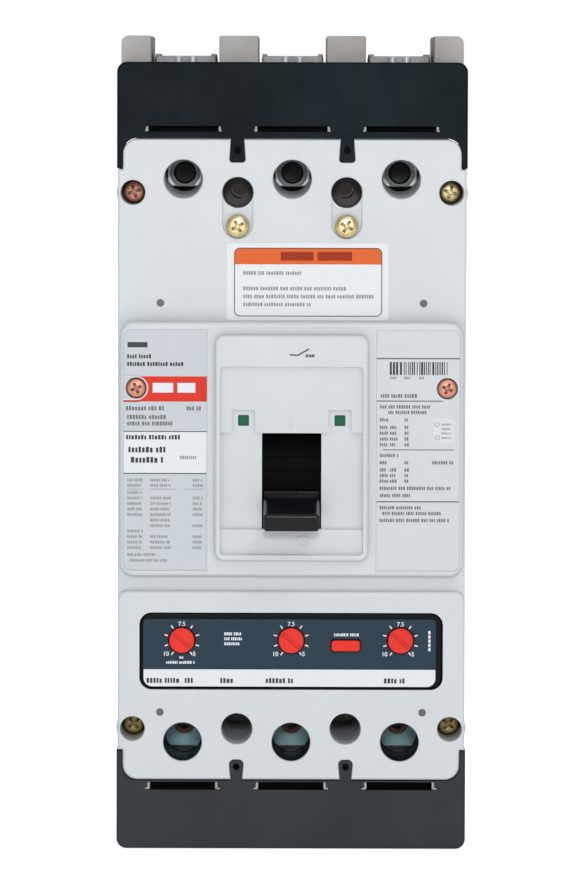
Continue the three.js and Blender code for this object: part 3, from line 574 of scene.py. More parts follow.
def tab_outline(x, end, tab):
    """A locating tab that widens a little towards its rounded tip, on the terminal cover at that end."""
    tip, root, wide, narrow, r = tab
    half = arc(wide - r, tip + r, r, -90, 0, 5) + [(narrow, root)]
    loop = mirrored(half + mirrored(half, -1), 1, end)
    return [(x + a, z) for a, z in loop]


def panel_outline(sign, inset=0.0):
    """A side label panel: square towards the handle, rounded at its outer corners."""
    near, far, low, high, r = 33.8 + inset, 67.6 - inset, inset - 44, 53 - inset, 3 - inset
    loop = [(near, low)] + arc(far - r, low + r, r, -90, 0, 6) + arc(far - r, high - r, r, 0, 90, 6)
    return mirrored(loop + [(near, high)], sign)


def body_loop(z0, z1, low_radius):
    """Outline of part of the body between two heights; its ends step in for the terminal covers' legs."""
    half, tall, r = BODY_X1, BODY_X1 - INSET, 6
    right = []
    if z0 < -LEG_FROM:
        right += arc(tall - r, z0 + r, r, -90, 0, 10)
        right += [(tall, -LEG_FROM), (half, -LEG_FROM)]
    else:
        right += arc(half - low_radius, z0 + low_radius, low_radius, -90, 0, 8)
    if z1 > LEG_FROM:
        right += [(half, LEG_FROM), (tall, LEG_FROM)]
        right += arc(tall - r, z1 - r, r, 0, 90, 10)
    else:
        right += arc(half - low_radius, z1 - low_radius, low_radius, 0, 90, 8)
    return right + [(-x, z) for x, z in reversed(right)]


# ---------- front cover ----------
RISE = Matrix(((1, 0, 0, 0), (0, 1, 0, 0), (0, 0.09, 1, 0.09 * FACE * MM), (0, 0, 0, 1)))


def make_front_cover():
    """The moulding. The floors of its upper driver holes rise a little as they go in."""
    back, half = SPLIT, BODY_X1 - 4
    cover = prism(body_loop(30, BODY_Z1, 1), back, FACE, edge=0.9)
    add(cover, prism(body_loop(BODY_Z0, -52.6, 4), back, FACE, edge=1.3, steps=5),
        prism(rect(BODY_X0, BODY_X1, -70, 40), back, 88.2, edge=0.9),
        prism(round_rect(-68.8, 68.8, -45.9, 56, 5.6, 10), 70, CENTRE, edge=1.5, steps=5))
    hollow = round_rect(-half, half, BODY_Z0 + 4, BODY_Z1 - 4, 3)
    cut(cover, prism(hollow, back - 5, FACE - 3.5, edge=0.3),
        prism(round_rect(-64.8, 64.8, -41.9, 52, 3), back - 5, CENTRE - 3.5, edge=0.3))
    tubes, bores, pockets = [], [], []
    for _, sign in POLES:
        x = sign * POLE
        for z in ACCESS_Z:
            tubes.append(prism(circle(x, z, ACCESS + 3), 64, FACE - 3))
            bores.append(bore(x, z, ACCESS, 60, FACE, 0.6))
            if z > 0:
                bores[-1].data.transform(RISE)
        bores.append(sharp(circle(x, ACCESS_Z[1], ACCESS + 1.3), 60, FACE - 1))
    for _, sign in SIDES:
        x, corner, panel = sign * MOUNT_X, sign * CORNER_X, (sign * PANEL_SCREW[0], PANEL_SCREW[1])
        for z in MOUNT_Z:
            tubes += [prism(circle(x, z, 8.4), back, FACE - 3.2),
                      prism(circle(corner, z, 6.6), 66, FACE - 3.4)]
            bores += [bore(x, z, MOUNT, back - 4, FACE), bore(corner, z, 4.95, 69, FACE),
                      bore(corner, z, 2.4, 60, 70, 0.1, 24)]
        tubes.append(prism(circle(*panel, 5.6), 80, CENTRE - 3))
        bores.append(bore(*panel, 4.25, CENTRE - 2.5, CENTRE - 0.5, 0.2))
        slot = obround(x, 89.1, MOUNT_Z[0] + MOUNT, MOUNT)
        pockets += [sharp(slot, FACE - 1, FACE + 2, back_edge=0.3),
                    sharp(panel_outline(sign), CENTRE - 0.5, CENTRE + 2, back_edge=0.2)]
        for end, tab in ((1, LINE_TAB), (-1, LOAD_TAB)):
            pockets.append(sharp(offset(tab_outline(sign * TAB_X, end, tab), -0.25), FACE - 1.2, FACE + 2))
    pockets += [sharp(round_rect(-61.1, 61.1, -92.6, -61.4, 5, 9), 80, FACE + 2),
                sharp(round_rect(-26, 26, -34.5, 46, 2), 80, CENTRE + 2)]
    add(cover, *tubes)
    cut(cover, *bores, join(pockets))
    piece(cover, "front_cover_moulding", "off_white_plastic", OFF_WHITE, "front_cover", angle=30)


def liner(x, z, outer, inner, back, front, edge):
    return prism(circle(x, z, outer), back, front, [circle(x, z, inner)[::-1]], edge=edge)


def make_hole_linings():
    """Near-black liners in the three lower driver holes, painted shade that keeps their walls dark, and the
    brown shoulder seen part of the way down each upper mounting hole."""
    for name, sign in POLES:
        ring = liner(sign * POLE, ACCESS_Z[1], ACCESS + 1.1, ACCESS + 0.1, 62, FACE - 1.1, 0.2)
        # The liner is painted shade for the hole's wall.
        piece(ring, f"access_sleeve_{name}", "black_plastic", SHADE_BLACK)
    for name, sign in SIDES:
        ring = liner(sign * MOUNT_X, MOUNT_Z[0], MOUNT - 0.1, 3.4, 57, 59.5, 0.3)
        piece(ring, f"mount_shoulder_{name}", "phenolic", BROWN)


make_front_cover()
make_hole_linings()


# ---------- escutcheon round the handle ----------
def box_tool(x0, x1, z0, z1, back, front):
    return sharp(rect(x0, x1, z0, z1), back, front)


def make_escutcheon():
    rim, upper_plate, ledge, top = 99.5, 98.0, -27.1, 99.5 + 2
    half, shoulder = 28.7, 11.7
    block = prism(round_rect(-30.7, 30.7, -39.6, 51, 3.6, 9), CENTRE + 0.3, rim, edge=1.3,
                  back_edge=0.1)
    add(block, prism(round_rect(-25.7, 25.7, -34.2, 45.7, 2), 92.2, 97, edge=0))
    notch = arc(WINDOW_X + 5.9, shoulder + 1.2, 1.2, -90, -180, 4) + [(WINDOW_X + 4.6, 20.9)]
    notch += [(2 * WINDOW_X - x, z) for x, z in reversed(notch)]
    plate = [(-half, ledge), (half, ledge), (half, shoulder)] + notch
    plate += mirrored(notch, -1) + [(-half, shoulder)]
    cut(block, sharp(round_rect(-half, half, -37.3, 38.3, 1.8, 6), upper_plate, top, back_edge=0.5),
        sharp(plate, 96.9, top, back_edge=0.15, steps=2), box_tool(-23.5, 23.5, -32, 43.5, 90, 94.6),
        sharp(round_rect(-11.9, 11.9, -26.9, 11.5, 0.4, 3), 90, top))
    for _, sign in SIDES:
        x = sign * WINDOW_X
        cut(block, sharp(round_rect(x - 2.2, x + 2.2, 14.4, 18.8, 0.5, 3), 90, top))
    marks = (upper_plate - 0.2, upper_plate + 0.3)
    add(block, sharp(round_rect(-0.5, 0.5, 13.6, 18.4, 0.4, 3), *marks, edge=0.2),
        sharp(circle(4.4, -32.2, 2.6), *marks, [circle(4.4, -32.2, 1.8)[::-1]], edge=0.2))
    piece(block, "escutcheon_moulding", "off_white_plastic", OFF_WHITE, "handle_escutcheon", angle=30)


# ---------- handle and what it moves ----------
HANDLE_AXIS = facing_front(0, -7.7, 50)
HANDLE_TURN = Matrix.Translation(HANDLE_AXIS) @ Matrix.Rotation(radians(12.4), 4, "X")


def make_handle():
    nose = arc(68.9, -2.2, 1.4, -90, 0, 6) + arc(68.9, 2.2, 1.4, 0, 90, 6)
    blade = [(43.9, -4.1)] + nose + [(43.9, 4.1)]
    grip = prism(blade, -11.1, 11.1, edge=1.5, back_edge=1.5, steps=6, place=facing_side)
    flange = prism(round_rect(44.4, 45.5, -5.6, 5.6, 0.35, 3), -11.1, 11.1, edge=0.3,
                   place=facing_side)
    add(grip, flange, sharp(rect(36.4, 45, -4.6, 4.6), -8, 8, place=facing_side))
    grip.data.transform(HANDLE_TURN)
    piece(grip, "handle_grip", "gloss_black_plastic", GLOSS_BLACK, "handle", body="handle_assembly",
          angle=30)


def make_barrier():
    radius, inner = 43.8, 42.2
    band = arc(0, 0, radius, -38, 38, 40) + arc(0, 0, inner, 38, -38, 40)
    shield = prism(band, -13.6, 13.6, edge=0.2, back_edge=0.2, place=facing_side)
    for angle in (24.5, 17.5, -24.5):
        a = radians(angle)
        centre = (radius * cos(a) - 0.15, radius * sin(a))
        add(shield, prism(circle(*centre, 0.35, 12), -11.2, 11.2, edge=0.1, back_edge=0.1,
                          place=facing_side))
    shield.data.transform(HANDLE_TURN)
    # Near-black: painted shade, with the barrier kept darker than the handle where it lies in shade.
    piece(shield, "handle_shield", "gloss_black_plastic", SHADE_BLACK, "handle_barrier",
          body="handle_assembly")


def make_flags():
    """Each strip shows green when off, white when tripped and red when on."""
    bands = (("green", 14.3, 30, FLAG_GREEN, "green_print", "position_indicator"),
             ("white", 9.5, 14.3, FLAG_WHITE, "off_white_plastic"),
             ("red", 3, 9.5, FLAG_RED, "red_plastic"))
    for color, z0, z1, material, slot, *nodes in bands:
        strips = [sharp(rect(sign * WINDOW_X - 3, sign * WINDOW_X + 3, z0, z1), 92.8, 94, edge=0.1)
                  for _, sign in SIDES]
        if nodes:
            strips.append(box_tool(-16.3, 16.3, 25, 30, 92.8, 94))
        piece(join(strips), f"indicator_{color}", slot, material, *nodes, body="indicator")


make_escutcheon()
make_handle()
make_barrier()
make_flags()


# ---------- trip unit ----------
DIAL_PITCH = 44
DIAL_Z = -72.6
DIAL = 5.05
HOUSING_FRONT = 88.5
PLATE_FRONT = 89.6
BUTTON = (22, -74.7)


def make_trip_housing():
    bezel = sharp(round_rect(-60.8, 60.8, -92.3, -61.7, 4.7, 9), 84, HOUSING_FRONT, edge=0.7)
    add(bezel, prism(round_rect(-62, 62, -98, -57, 1, 2), 50, 85, edge=0.3))
    cut(bezel, box_tool(-60, 60, -96, -59, 49, 83), box_tool(-58.9, 58.9, -90.5, -63.5, 80, 86))
    bores = [bore(sign * DIAL_PITCH, DIAL_Z, 2.5, 80, HOUSING_FRONT, 0.1, 24) for _, sign in POLES]
    x, z = BUTTON
    cut(bezel, join(bores), box_tool(x - 6, x + 6, z - 2.5, z + 2.5, 82, 92))
    ledge = box_tool(x - 5, x + 5, -97, -58, 70.2, 72)
    cut(ledge, bore(x, z, 2, 69, 72, 0.1, 20))
    webs = [box_tool(sign * 54 - 1, sign * 54 + 1, -97, -78, 58, 84) for _, sign in SIDES]
    for web in webs:
        cut(web, sharp(circle(66, -86, 2.9, 24), -58, 58, place=facing_side))
    piece(join([bezel, ledge, *webs]), "trip_unit_case", "black_plastic", BLACK,
          "trip_unit_housing", angle=30)


def plate_outline(inset=0.0, top=-64.1):
    """The faceplate, with rounder corners at the bottom than at the top."""
    left, right, low, high, r = inset - 59.6, 58.3 - inset, inset - 91.5, top, 3.6 - inset
    loop = arc(right - r, low + r, r, -90, 0, 7)
    if top > -70:
        loop += arc(right - 1.6, high - 1.6, 1.6, 0, 90, 5) + arc(left + 1.6, high - 1.6, 1.6, 90, 180, 5)
    else:
        loop += [(right, high), (left, high)]
    return loop + arc(left + r, low + r, r, 180, 270, 7)


def make_faceplate():
    holes = [circle(sign * DIAL_PITCH, DIAL_Z, DIAL + 0.65)[::-1] for _, sign in POLES]
    x, z = BUTTON
    holes.append(round_rect(x - 6.25, x + 6.25, z - 2.75, z + 2.75, 1.3, 4)[::-1])
    plate = prism(plate_outline(), 88.8, PLATE_FRONT, holes, edge=0.12, back_edge=0, steps=2)
    piece(plate, "faceplate", "blue_grey_print", PLATE_BLUE, "trip_unit_faceplate")
    strip = sharp(plate_outline(0.2, -84.4), PLATE_FRONT - 0.1, PLATE_FRONT + 0.1)
    piece(strip, "rating_strip", "off_white_plastic", LABEL_WHITE)


def make_dials():
    for name, sign in POLES:
        x = sign * DIAL_PITCH
        profile = [(0, -8), (2.1, -8), (2.1, 0.4), (DIAL - 0.2, 0.4), (DIAL, 0.6), (DIAL, 2.5)]
        profile += [(DIAL - 0.4 + 0.4 * cos(a), 2.5 + 0.4 * sin(a)) for a in (0.5, 1.0, 1.57)]
        profile += [(DIAL - 0.9, 2.75), (0, 2.75)]
        dial = lathe(profile, x, DIAL_Z, HOUSING_FRONT, 48)
        groove = prism(round_rect(-0.85, 0.85, -5.6, 5.6, 0.6, 5), 2.1, 4, edge=0, back_edge=0.4)
        turn = Matrix.Rotation(radians(130), 4, "Y")
        groove.data.transform(Matrix.Translation(facing_front(x, DIAL_Z, HOUSING_FRONT)) @ turn)
        cut(dial, groove)
        piece(dial, f"dial_{name}", "red_plastic", RED, f"trip_dial_{name}", body=f"dial_{name}", angle=30)


def make_button():
    x, z = BUTTON
    cap = prism(round_rect(x - 5.7, x + 5.7, z - 2.2, z + 2.2, 1, 5), 81, 91, edge=0.5, back_edge=0)
    flange = prism(rect(x - 7.2, x + 7.2, z - 3.2, z + 3.2), 80.4, 82.6, edge=0.2)
    add(cap, flange, lathe([(0, 68.4), (1.2, 68.4), (1.5, 68.8), (1.5, 81), (0, 81)], x, z, 0, 20))
    piece(cap, "trip_button_cap", "red_plastic", RED, "push_to_trip_button", body="trip_button")


make_trip_housing()
make_faceplate()
make_dials()
make_button()


# ---------- labels: plain bands and bars, with no lettering ----------
def sheet_piece(name, loop, depth, material, holes=(), slot="off_white_plastic"):
    piece(sharp(loop, depth - 0.05, depth, holes), name, slot, material)


def slabs(name, rects, depth, material, slot="blue_grey_print"):
    """Many thin raised rectangles as one piece."""
    bm = bmesh.new()
    for x0, x1, z0, z1 in rects:
        low = [bm.verts.new(facing_front(x, z, depth - 0.02)) for x, z in rect(x0, x1, z0, z1)]
        high = [bm.verts.new(facing_front(x, z, depth + 0.03)) for x, z in rect(x0, x1, z0, z1)]
        bm.faces.new(low[::-1])
        bm.faces.new(high)
        quads(bm, low, high)
    piece(to_object(bm), name, slot, material)


def print_row(rng, x0, x1, z, height):
    """A row of small plain blocks grouped like words, where a line of print would be."""
    blocks, x = [], x0
    while x < x1 - 0.35 * height:
        for _ in range(rng.randint(3, 8)):
            end = x + height * rng.uniform(0.34, 0.58)
            if end > x1:
                break
            blocks.append((x, end, z - height / 2, z + height * rng.choice((0.5, 0.5, 0.36))))
            x = end + height * 0.2
        x += height * 0.4
    return blocks


def lines(rng, *rows):
    """Several rows of print, each given as x0, x1, z and height."""
    return [block for row in rows for block in print_row(rng, *row)]


def table_rows(rng, columns, top, pitch, rows, height):
    """Rows of print in columns. Each row is a text of column numbers."""
    blocks = []
    for index, present in enumerate(rows):
        for column in present:
            x0, x1 = columns[int(column)]
            blocks += print_row(rng, x0, x1, top - pitch * index, height)
    return blocks


def screw_hole(sign, radius=4.3):
    return circle(sign * PANEL_SCREW[0], PANEL_SCREW[1], radius)[::-1]


def screw_patch(name, radius, depth, material):
    """Clears the red band around the left panel screw."""
    x, z = -PANEL_SCREW[0], PANEL_SCREW[1]
    loop = [(-67.4, z - radius)] + arc(x, z, radius, -90, 90, 20) + [(-67.4, z + radius)]
    sheet_piece(name, loop, depth, material, [screw_hole(-1)])


def make_left_label(rng):
    depth = CENTRE - 0.4
    over = depth + 0.05
    wide, short = (-67.3, -34.1), (-67.3, -61.4)
    sheet_piece("left_label", panel_outline(-1, 0.15), depth, LABEL_GREY, [screw_hole(-1)])
    band = rect(-67.4, -34, 24, 34.1)
    sheet_piece("left_red_band", band, over, LABEL_RED, [screw_hole(-1, 4.35)], slot="red_plastic")
    screw_patch("left_screw_rim", 4.8, depth + 0.08, LABEL_WHITE)
    screw_patch("left_screw_patch", 4.45, depth + 0.11, LABEL_GREY)
    slabs("left_band_bars", [(-55.7, -47.5, 27.6, 31.5), (-45.8, -38.6, 27.6, 31.5)], over, INK_WHITE)
    sheet_piece("left_white_patch", rect(*wide, -4.6, 11.7), over, LABEL_WHITE)
    dark = [(-65.8, -57.8, 45.7, 47.8), (*wide, 11.85, 12.15), (*wide, -5.05, -4.7),
            (*short, 34.05, 34.3), (*short, 23.8, 24.05)]
    dark += lines(rng, (-65.9, -55.8, 42.1, 1.6), (-65.9, -42.3, 39.05, 1.6))
    slabs("left_dark_print", dark, depth, INK)
    middle = lines(rng, (-66.4, -50.9, 21.3, 1.7), (-42.1, -35.7, 21.3, 1.7), (-65.9, -49.3, 17.8, 1.7),
                   (-65.9, -47.4, 15.2, 1.6))
    slabs("left_rows", middle, depth, INK_GREY)
    patch = lines(rng, (-66.3, -43.9, 9.7, 1.8), (-65.4, -49.7, 4.7, 2.3), (-64.4, -50.7, 0.6, 2.3))
    slabs("left_patch_rows", patch, over, INK)
    slabs("left_patch_code", lines(rng, (-44.7, -37.9, 1.6, 1.3)), over, INK_PALE)
    columns = ((-65.8, -59.6), (-56.6, -48.4), (-39.6, -35.4))
    table = table_rows(rng, columns, -7.55, 2.1, ("012", "012"), 1.1)
    table += [(x0, x1, -11.3, -11.05) for x0, x1 in ((-65.8, -59.4), (-56.6, -46.6), (-43.3, -35.4))]
    rows = ("0", "012", "012", "012", "012", "1", "12", "0", "012", "012", "012")
    table += table_rows(rng, columns, -12.5, 2.22, rows, 1.15)
    table += lines(rng, (-65.8, -54, -37.5, 1.15), (-64.6, -49.7, -39.8, 1.15))
    slabs("left_table", table, depth, INK_PALE)


def make_right_label(rng):
    depth, size = CENTRE - 0.4, 1.35
    over = depth + 0.05
    sheet_piece("right_label", panel_outline(1, 0.15), depth, LABEL_PALE, [screw_hole(1)])
    stripes, x = [], 39.2
    while x < 62:
        width = rng.choice((0.35, 0.5, 0.85))
        stripes.append((x, min(x + width, 62.3), 34.9, 40.1))
        x += width + rng.choice((0.3, 0.4, 0.7))
    stripes += [(36.4, 65.1, 4.7, 5.0), (34, 67.3, -16.2, -15.8)]
    slabs("right_stripes", stripes, depth, INK)
    rows = [(34, 67.3, 41.2, 41.75), (34, 60.4, 24.2, 24.65)]
    rows += lines(rng, (35.6, 50.7, 26.5, 1.5), (35.4, 56, 22.1, size), (38.6, 54.6, 19.9, size))
    columns = ((35.3, 38.7), (39.4, 42.4), (45.2, 47.4), (56.3, 64.7))
    rows += table_rows(rng, columns, 16.9, 2.5, ("02",), size)
    rows += table_rows(rng, columns, 13.9, 2.33, ("012",) * 4, size)
    rows += lines(rng, (35.4, 43.4, 2.6, size))
    rows += table_rows(rng, columns, -0.3, 2.5, ("023",), size)
    rows += table_rows(rng, columns, -3.2, 2.25, ("012",) * 3, size)
    rows += lines(rng, (35.3, 64.3, -10.6, size), (35.3, 48.8, -13.5, size), (35.3, 51.8, -18.4, size),
                  (36.4, 60.9, -20.7, size), (35.3, 64, -23.5, size))
    slabs("right_rows", rows, depth, INK_GREY)
    numbers = table_rows(rng, ((39.2, 42), (44.8, 48), (51, 53.4)), 33.7, 2, ("012",), 1.1)
    slabs("right_stripe_numbers", numbers, depth, INK_PALE)
    sheet_piece("right_white_patch", round_rect(56.8, 65.3, 7.8, 17.4, 0.8, 4), over, PATCH_PALE)
    rings = [sharp(circle(58.3, z, 0.95, 24), depth + 0.03, depth + 0.08, [circle(58.3, z, 0.7, 24)[::-1]])
             for z in (15.1, 9.7)]
    piece(join(rings), "right_patch_rings", "blue_grey_print", INK_PALE)
    slabs("right_patch_rows", table_rows(rng, ((60, 64.2),), 15.1, 1.8, "0000", 0.8), over, INK_PALE)


def make_caution_label(rng):
    depth = FACE + 0.1
    sheet_piece("top_label", round_rect(-26.2, 38.8, 56.5, 87.4, 1.2, 4), depth, LABEL_WHITE)
    outer = round_rect(-23.25, 36.15, 57.95, 85.55, 2.4, 8)
    inner = round_rect(-22.9, 35.8, 58.3, 85.2, 2.1, 8)[::-1]
    sheet_piece("top_label_line", outer, depth + 0.03, INK, [inner], slot="blue_grey_print")
    band = arc(33.7, 83.1, 2.1, 0, 90, 8) + arc(-20.8, 83.1, 2.1, 90, 180, 8)
    band += [(-22.9, 78.9), (35.8, 78.9)]
    sheet_piece("top_label_band", band, depth + 0.04, LABEL_ORANGE, slot="red_plastic")
    warm = [(-4.6, 8.6, 80.4, 83.9), (10.2, 24.0, 80.4, 83.9)]
    slabs("top_label_band_bars", warm, depth + 0.04, LABEL_BROWN)
    ends = ((5, 75.4), (22, 69.2), (33, 66.0), (8, 62.8))
    slabs("top_label_rows", lines(rng, *((-19.6, x1, z, 1.5) for x1, z in ends)), depth, INK_PALE)


def make_trip_print(rng):
    depth = PLATE_FRONT
    ticks = []
    for _, sign in POLES:
        middle = Vector((sign * DIAL_PITCH, DIAL_Z))
        for angle in (-55, -18.75, 17.5, 53.75, 126.25, 162.5, 198.75, 235):
            turn = Matrix.Rotation(radians(angle), 2)
            loop = [tuple(middle + turn @ Vector(p)) for p in rect(5.85, 7.3, -0.25, 0.25)]
            ticks.append(sharp(loop, depth - 0.02, depth + 0.03))
    piece(join(ticks), "dial_ticks", "off_white_plastic", INK_WHITE)
    for side, sign in POLES:
        for text, dx, dz in (("7.5", 0, 6.5), ("10", -6.4, -5.6), ("5", 5.0, -5.6)):
            name = f"dial_number_{side}_{text.replace('.', '_')}"
            number(name, text, sign * DIAL_PITCH + dx, DIAL_Z + dz, depth)
    rows = lines(rng, (-45, -43, -79.6, 1), (-50.3, -38.6, -81.6, 1.1),
                 *((-26.9, -19.6, z, 1.2) for z in (-70.0, -72.0, -74.0)), (17.3, 27.3, -70.3, 1.2))
    rows += [(55.2, 56.1, z, z + 1.3) for z in (-76.8, -75.1, -73.4, -71.7, -70.0)]
    slabs("trip_unit_rows", rows, depth, INK_WHITE, slot="off_white_plastic")
    words = ((-58.2, -44.4), (-42.8, -39.0), (-28.5, -22.6), (-10.2, 1.0), (37.4, 46.2))
    strip = lines(rng, *((x0, x1, -88.9, 2.0) for x0, x1 in words))
    slabs("rating_strip_rows", strip, depth + 0.1, INK)


def number(name, text, x, z, depth):
    """A dial number as a thin raised shape."""
    curve = bpy.data.curves.new(name, "FONT")
    curve.body = text
    curve.size = 2.45 * MM
    curve.offset = 0.04 * MM
    curve.extrude = 0.02 * MM
    curve.align_x = "CENTER"
    curve.align_y = "CENTER"
    writing = linked(name, curve)
    mesh = evaluated_mesh(writing)
    bpy.data.objects.remove(writing)
    mesh.transform(Matrix.Translation(facing_front(x, z, depth)) @ Matrix.Rotation(pi / 2, 4, "X"))
    piece(linked(name, mesh), name, "off_white_plastic", INK_WHITE)


def stroke(points, width):
    """Outline of a bent line of even width."""
    left, right = [], []
    for i, point in enumerate(points):
        here = Vector(point)
        ahead = Vector(points[min(i + 1, len(points) - 1)]) - Vector(points[max(i - 1, 0)])
        side = Vector((-ahead.y, ahead.x)).normalized() * width / 2
        left.append(tuple(here + side))
        right.append(tuple(here - side))
    return right + left[::-1]


def make_switch_symbol():
    """A plain open-contact symbol above the handle."""
    depth = 99.48
    parts = [sharp(stroke([(-0.9, 43.1), (2.4, 42.9), (6.9, 45.5)], 0.55), depth, depth + 0.05)]
    for x in (6.0, 7.3, 8.5):
        for rise, height in ((0.5, 0.05), (-0.5, 0.06)):
            ends = [(x - 0.5, 42.7 - rise), (x + 0.5, 42.7 + rise)]
            parts.append(sharp(stroke(ends, 0.45), depth, depth + height))
    piece(join(parts), "switch_symbol", "blue_grey_print", INK)


make_left_label(random.Random(3))
make_right_label(random.Random(5))
make_caution_label(random.Random(7))
make_trip_print(random.Random(9))
make_switch_symbol()


# ---------- screws and small pins ----------
def make_screw(name, node, x, z, seat, head, height, length, turn, material):
    rim = height * 0.38
    profile = [(0, -length), (1.2, -length), (2, 1.5 - length), (2, 0), (head - 0.2, 0), (head, 0.25),
               (head, rim)]
    for k in range(1, 7):
        a = pi / 2 * k / 6
        profile.append((head * (0.55 + 0.45 * cos(a)), rim + (height * 0.93 - rim) * sin(a)))
    screw = lathe(profile + [(0, height)], x, z, seat, 36)
    arm, half = head * 0.56, 0.62
    quarter = [(half, -arm), (half, -half), (arm, -half)]
    quarters = ((1, 0), (0, -1), (-1, 0), (0, 1))
    cross = [(a * c + b * s, b * c - a * s) for c, s in quarters for a, b in quarter]
    recess = prism(cross, height * 0.25, height + 1, edge=0, steps=3)
    recess.data.transform(Matrix.Translation(facing_front(x, z, seat)) @ Matrix.Rotation(turn, 4, "Y"))
    cut(screw, recess)
    piece(screw, name, "yellow_zinc_steel", material, node)


def make_screws():
    for side, sign in SIDES:
        line_color = COPPERY if sign < 0 else YELLOW_ZINC
        corner, line_z, load_z = (69.3, 4.85, 2.8, 50), *MOUNT_Z
        kinds = (("line_corner", "line_corner_screw", CORNER_X, line_z, corner, 0.3, line_color),
                 ("load_corner", "load_corner_screw", CORNER_X, load_z, corner, 0.7, OLIVE_ZINC),
                 ("upper", "upper_cover_screw", MOUNT_X, 94.2, (89.3, 4.7, 2.9, 72), 0.5, YELLOW_ZINC),
                 ("panel", "panel_screw", *PANEL_SCREW, (93.8, 4, 2.4, 76), 0.4, COPPERY))
        for name, node, x, z, sizes, turn, material in kinds:
            make_screw(f"{name}_{side}", f"{node}_{side}", sign * x, z, *sizes, turn * sign, material)


def make_pins():
    profile = [(0, 89.7), (1.55, 89.7), (1.55, 90.02), (1.35, 90.15), (0.8, 90.15), (0.6, 90.05),
               (0, 90.05)]
    pins = [lathe(profile, sign * 52.8, z, 0, 24) for _, sign in SIDES for z in (63.3, -101.7)]
    piece(join(pins), "ring_pins", "light_grey_plastic", PIN_GREY)


make_screws()
make_pins()


# ---------- terminal covers and insulators ----------
def cover_outline(end, far):
    """A terminal cover: square where its legs end, rounded at its far corners."""
    half, near, r = 70.3, LEG_FROM + 0.3, 4
    corners = arc(half - r, far - r, r, 0, 90, 8) + arc(r - half, far - r, r, 90, 180, 8)
    return mirrored([(-half, near), (half, near)] + corners, 1, end)


def slot_outline(x, end, near, far):
    """The opening over a terminal; at the load end it is wider along its outer edge."""
    if end > 0:
        return round_rect(x - 15.4, x + 15.4, near, far, 0.5, 3)
    step = far - 1.4
    half = [(14.2, near), (14.2, step), (15.4, step), (15.4, far)]
    return [(x + a, z) for a, z in mirrored(half + mirrored(half, -1), 1, -1)]


def span(end, a, b):
    """The two heights, low one first, at the line end (1) or the load end (-1)."""
    return sorted((end * a, end * b))


def make_hooks(name, end, near, far):
    """The light catches seen at both sides of each opening, their toes turned outwards."""
    low, high = span(end, near, far)
    reach, toe = (13.7, 1.5) if end < 0 else (14.6, 0.75)
    hooks = []
    for _, sign in POLES:
        for side in (-1, 1):
            x = sign * POLE + side * reach
            post = round_rect(x - 0.55, x + 0.55, low + 0.1, high - 0.1, 0.3, 3)
            x0, x1 = sorted((x, x + side * toe))
            hooks += [prism(post, 84, 88.6, edge=0.3),
                      prism(rect(x0, x1, low + 0.1, low + 0.9), 84, 89.0, edge=0.15)]
    piece(join(hooks), f"{name}_hooks", "light_grey_plastic", COVER_GREY)


def make_terminal_cover(end, name, node, far, slot, tab, hole_z):
    shell = prism(cover_outline(end, far), 60.3, FACE, edge=1.1, steps=5)
    slots = [sharp(slot_outline(sign * POLE, end, *slot), 85, 92) for _, sign in POLES]
    cut(shell, sharp(offset(body_loop(BODY_Z0, BODY_Z1, 1), -0.3), 58, 92),
        box_tool(-67.5, 67.5, *span(end, 109.4, far + 5), 58, 87), join(slots))
    for _, sign in SIDES:
        x = sign * TAB_X
        raised = prism(tab_outline(x, end, tab), 89.1, FACE + 0.3, edge=0.3)
        cut(raised, sharp(obround(x, *span(end, *hole_z), 1.35, 10), 88, 92))
        add(shell, raised, box_tool(x - 1.2, x + 1.2, *span(end, WALL_FROM, far - 3), 61.3, 88))
    piece(shell, name, "black_plastic", LINE_BLACK if end > 0 else LOAD_BLACK, node, angle=30)
    # Near-black plates behind the slots: painted shade inside the openings.
    low, high = span(end, slot[0] - 0.4, slot[1] + 3)
    shades = [box_tool(sign * POLE - 17, sign * POLE + 17, low, high, 83, 83.9) for _, sign in POLES]
    piece(join(shades), f"{name}_shades", "black_plastic", SHADE_BLACK)
    make_hooks(name, end, *slot)
    # Near-black plugs in the tab holes: painted shade inside them.
    plug = [(0, 88.5), (1.9, 88.5), (1.9, 88.9), (1.7, 89.0), (0, 89.0)]
    shade_plugs = [lathe(plug, sign * TAB_X, end * sum(hole_z) / 2, 0, 20) for _, sign in SIDES]
    piece(join(shade_plugs), f"{name}_plugs", "black_plastic", SHADE_BLACK)


def make_insulator(end, name, node, wall_far):
    walls = []
    for _, sign in SIDES:
        for a, b, r in ((57.5, 69.6, 3), (13.8, 29.8, 0.8)):
            loop = [(a, WALL_FROM), (b, WALL_FROM)] + arc(b - r, wall_far - r, r, 0, 90, 6)
            loop = mirrored(loop + arc(a + 0.8, wall_far - 0.8, 0.8, 90, 180, 4), sign, end)
            walls.append(prism(loop, 0.6, 60, edge=0.7, back_edge=0.4))
    body = prism(rect(-69.6, 69.6, *span(end, WALL_FROM, 152)), 0.5, 5, edge=0.4, back_edge=0.4)
    add(body, *walls)
    piece(body, name, "light_grey_plastic", STAINED_GREY, node)


make_terminal_cover(1, "line_cover", "line_terminal_cover", 159.9, (131.9, 134.3), LINE_TAB, (122.9, 126.3))
make_terminal_cover(-1, "load_cover", "load_terminal_cover", 157, (129.9, 133.2), LOAD_TAB, (122.3, 125.2))
make_insulator(1, "line_barriers", "line_end_insulator", 170.7)
make_insulator(-1, "load_barriers", "load_end_insulator", 155.5)


# ---------- terminals ----------
def facing_up(x, depth, z):
    return Vector((x, -depth, z)) * MM


def make_lug(x, low, high):
    return prism(round_rect(x - 12.6, x + 12.6, low, high, 1, 4), 12, 48, edge=0.9, back_edge=0.9)


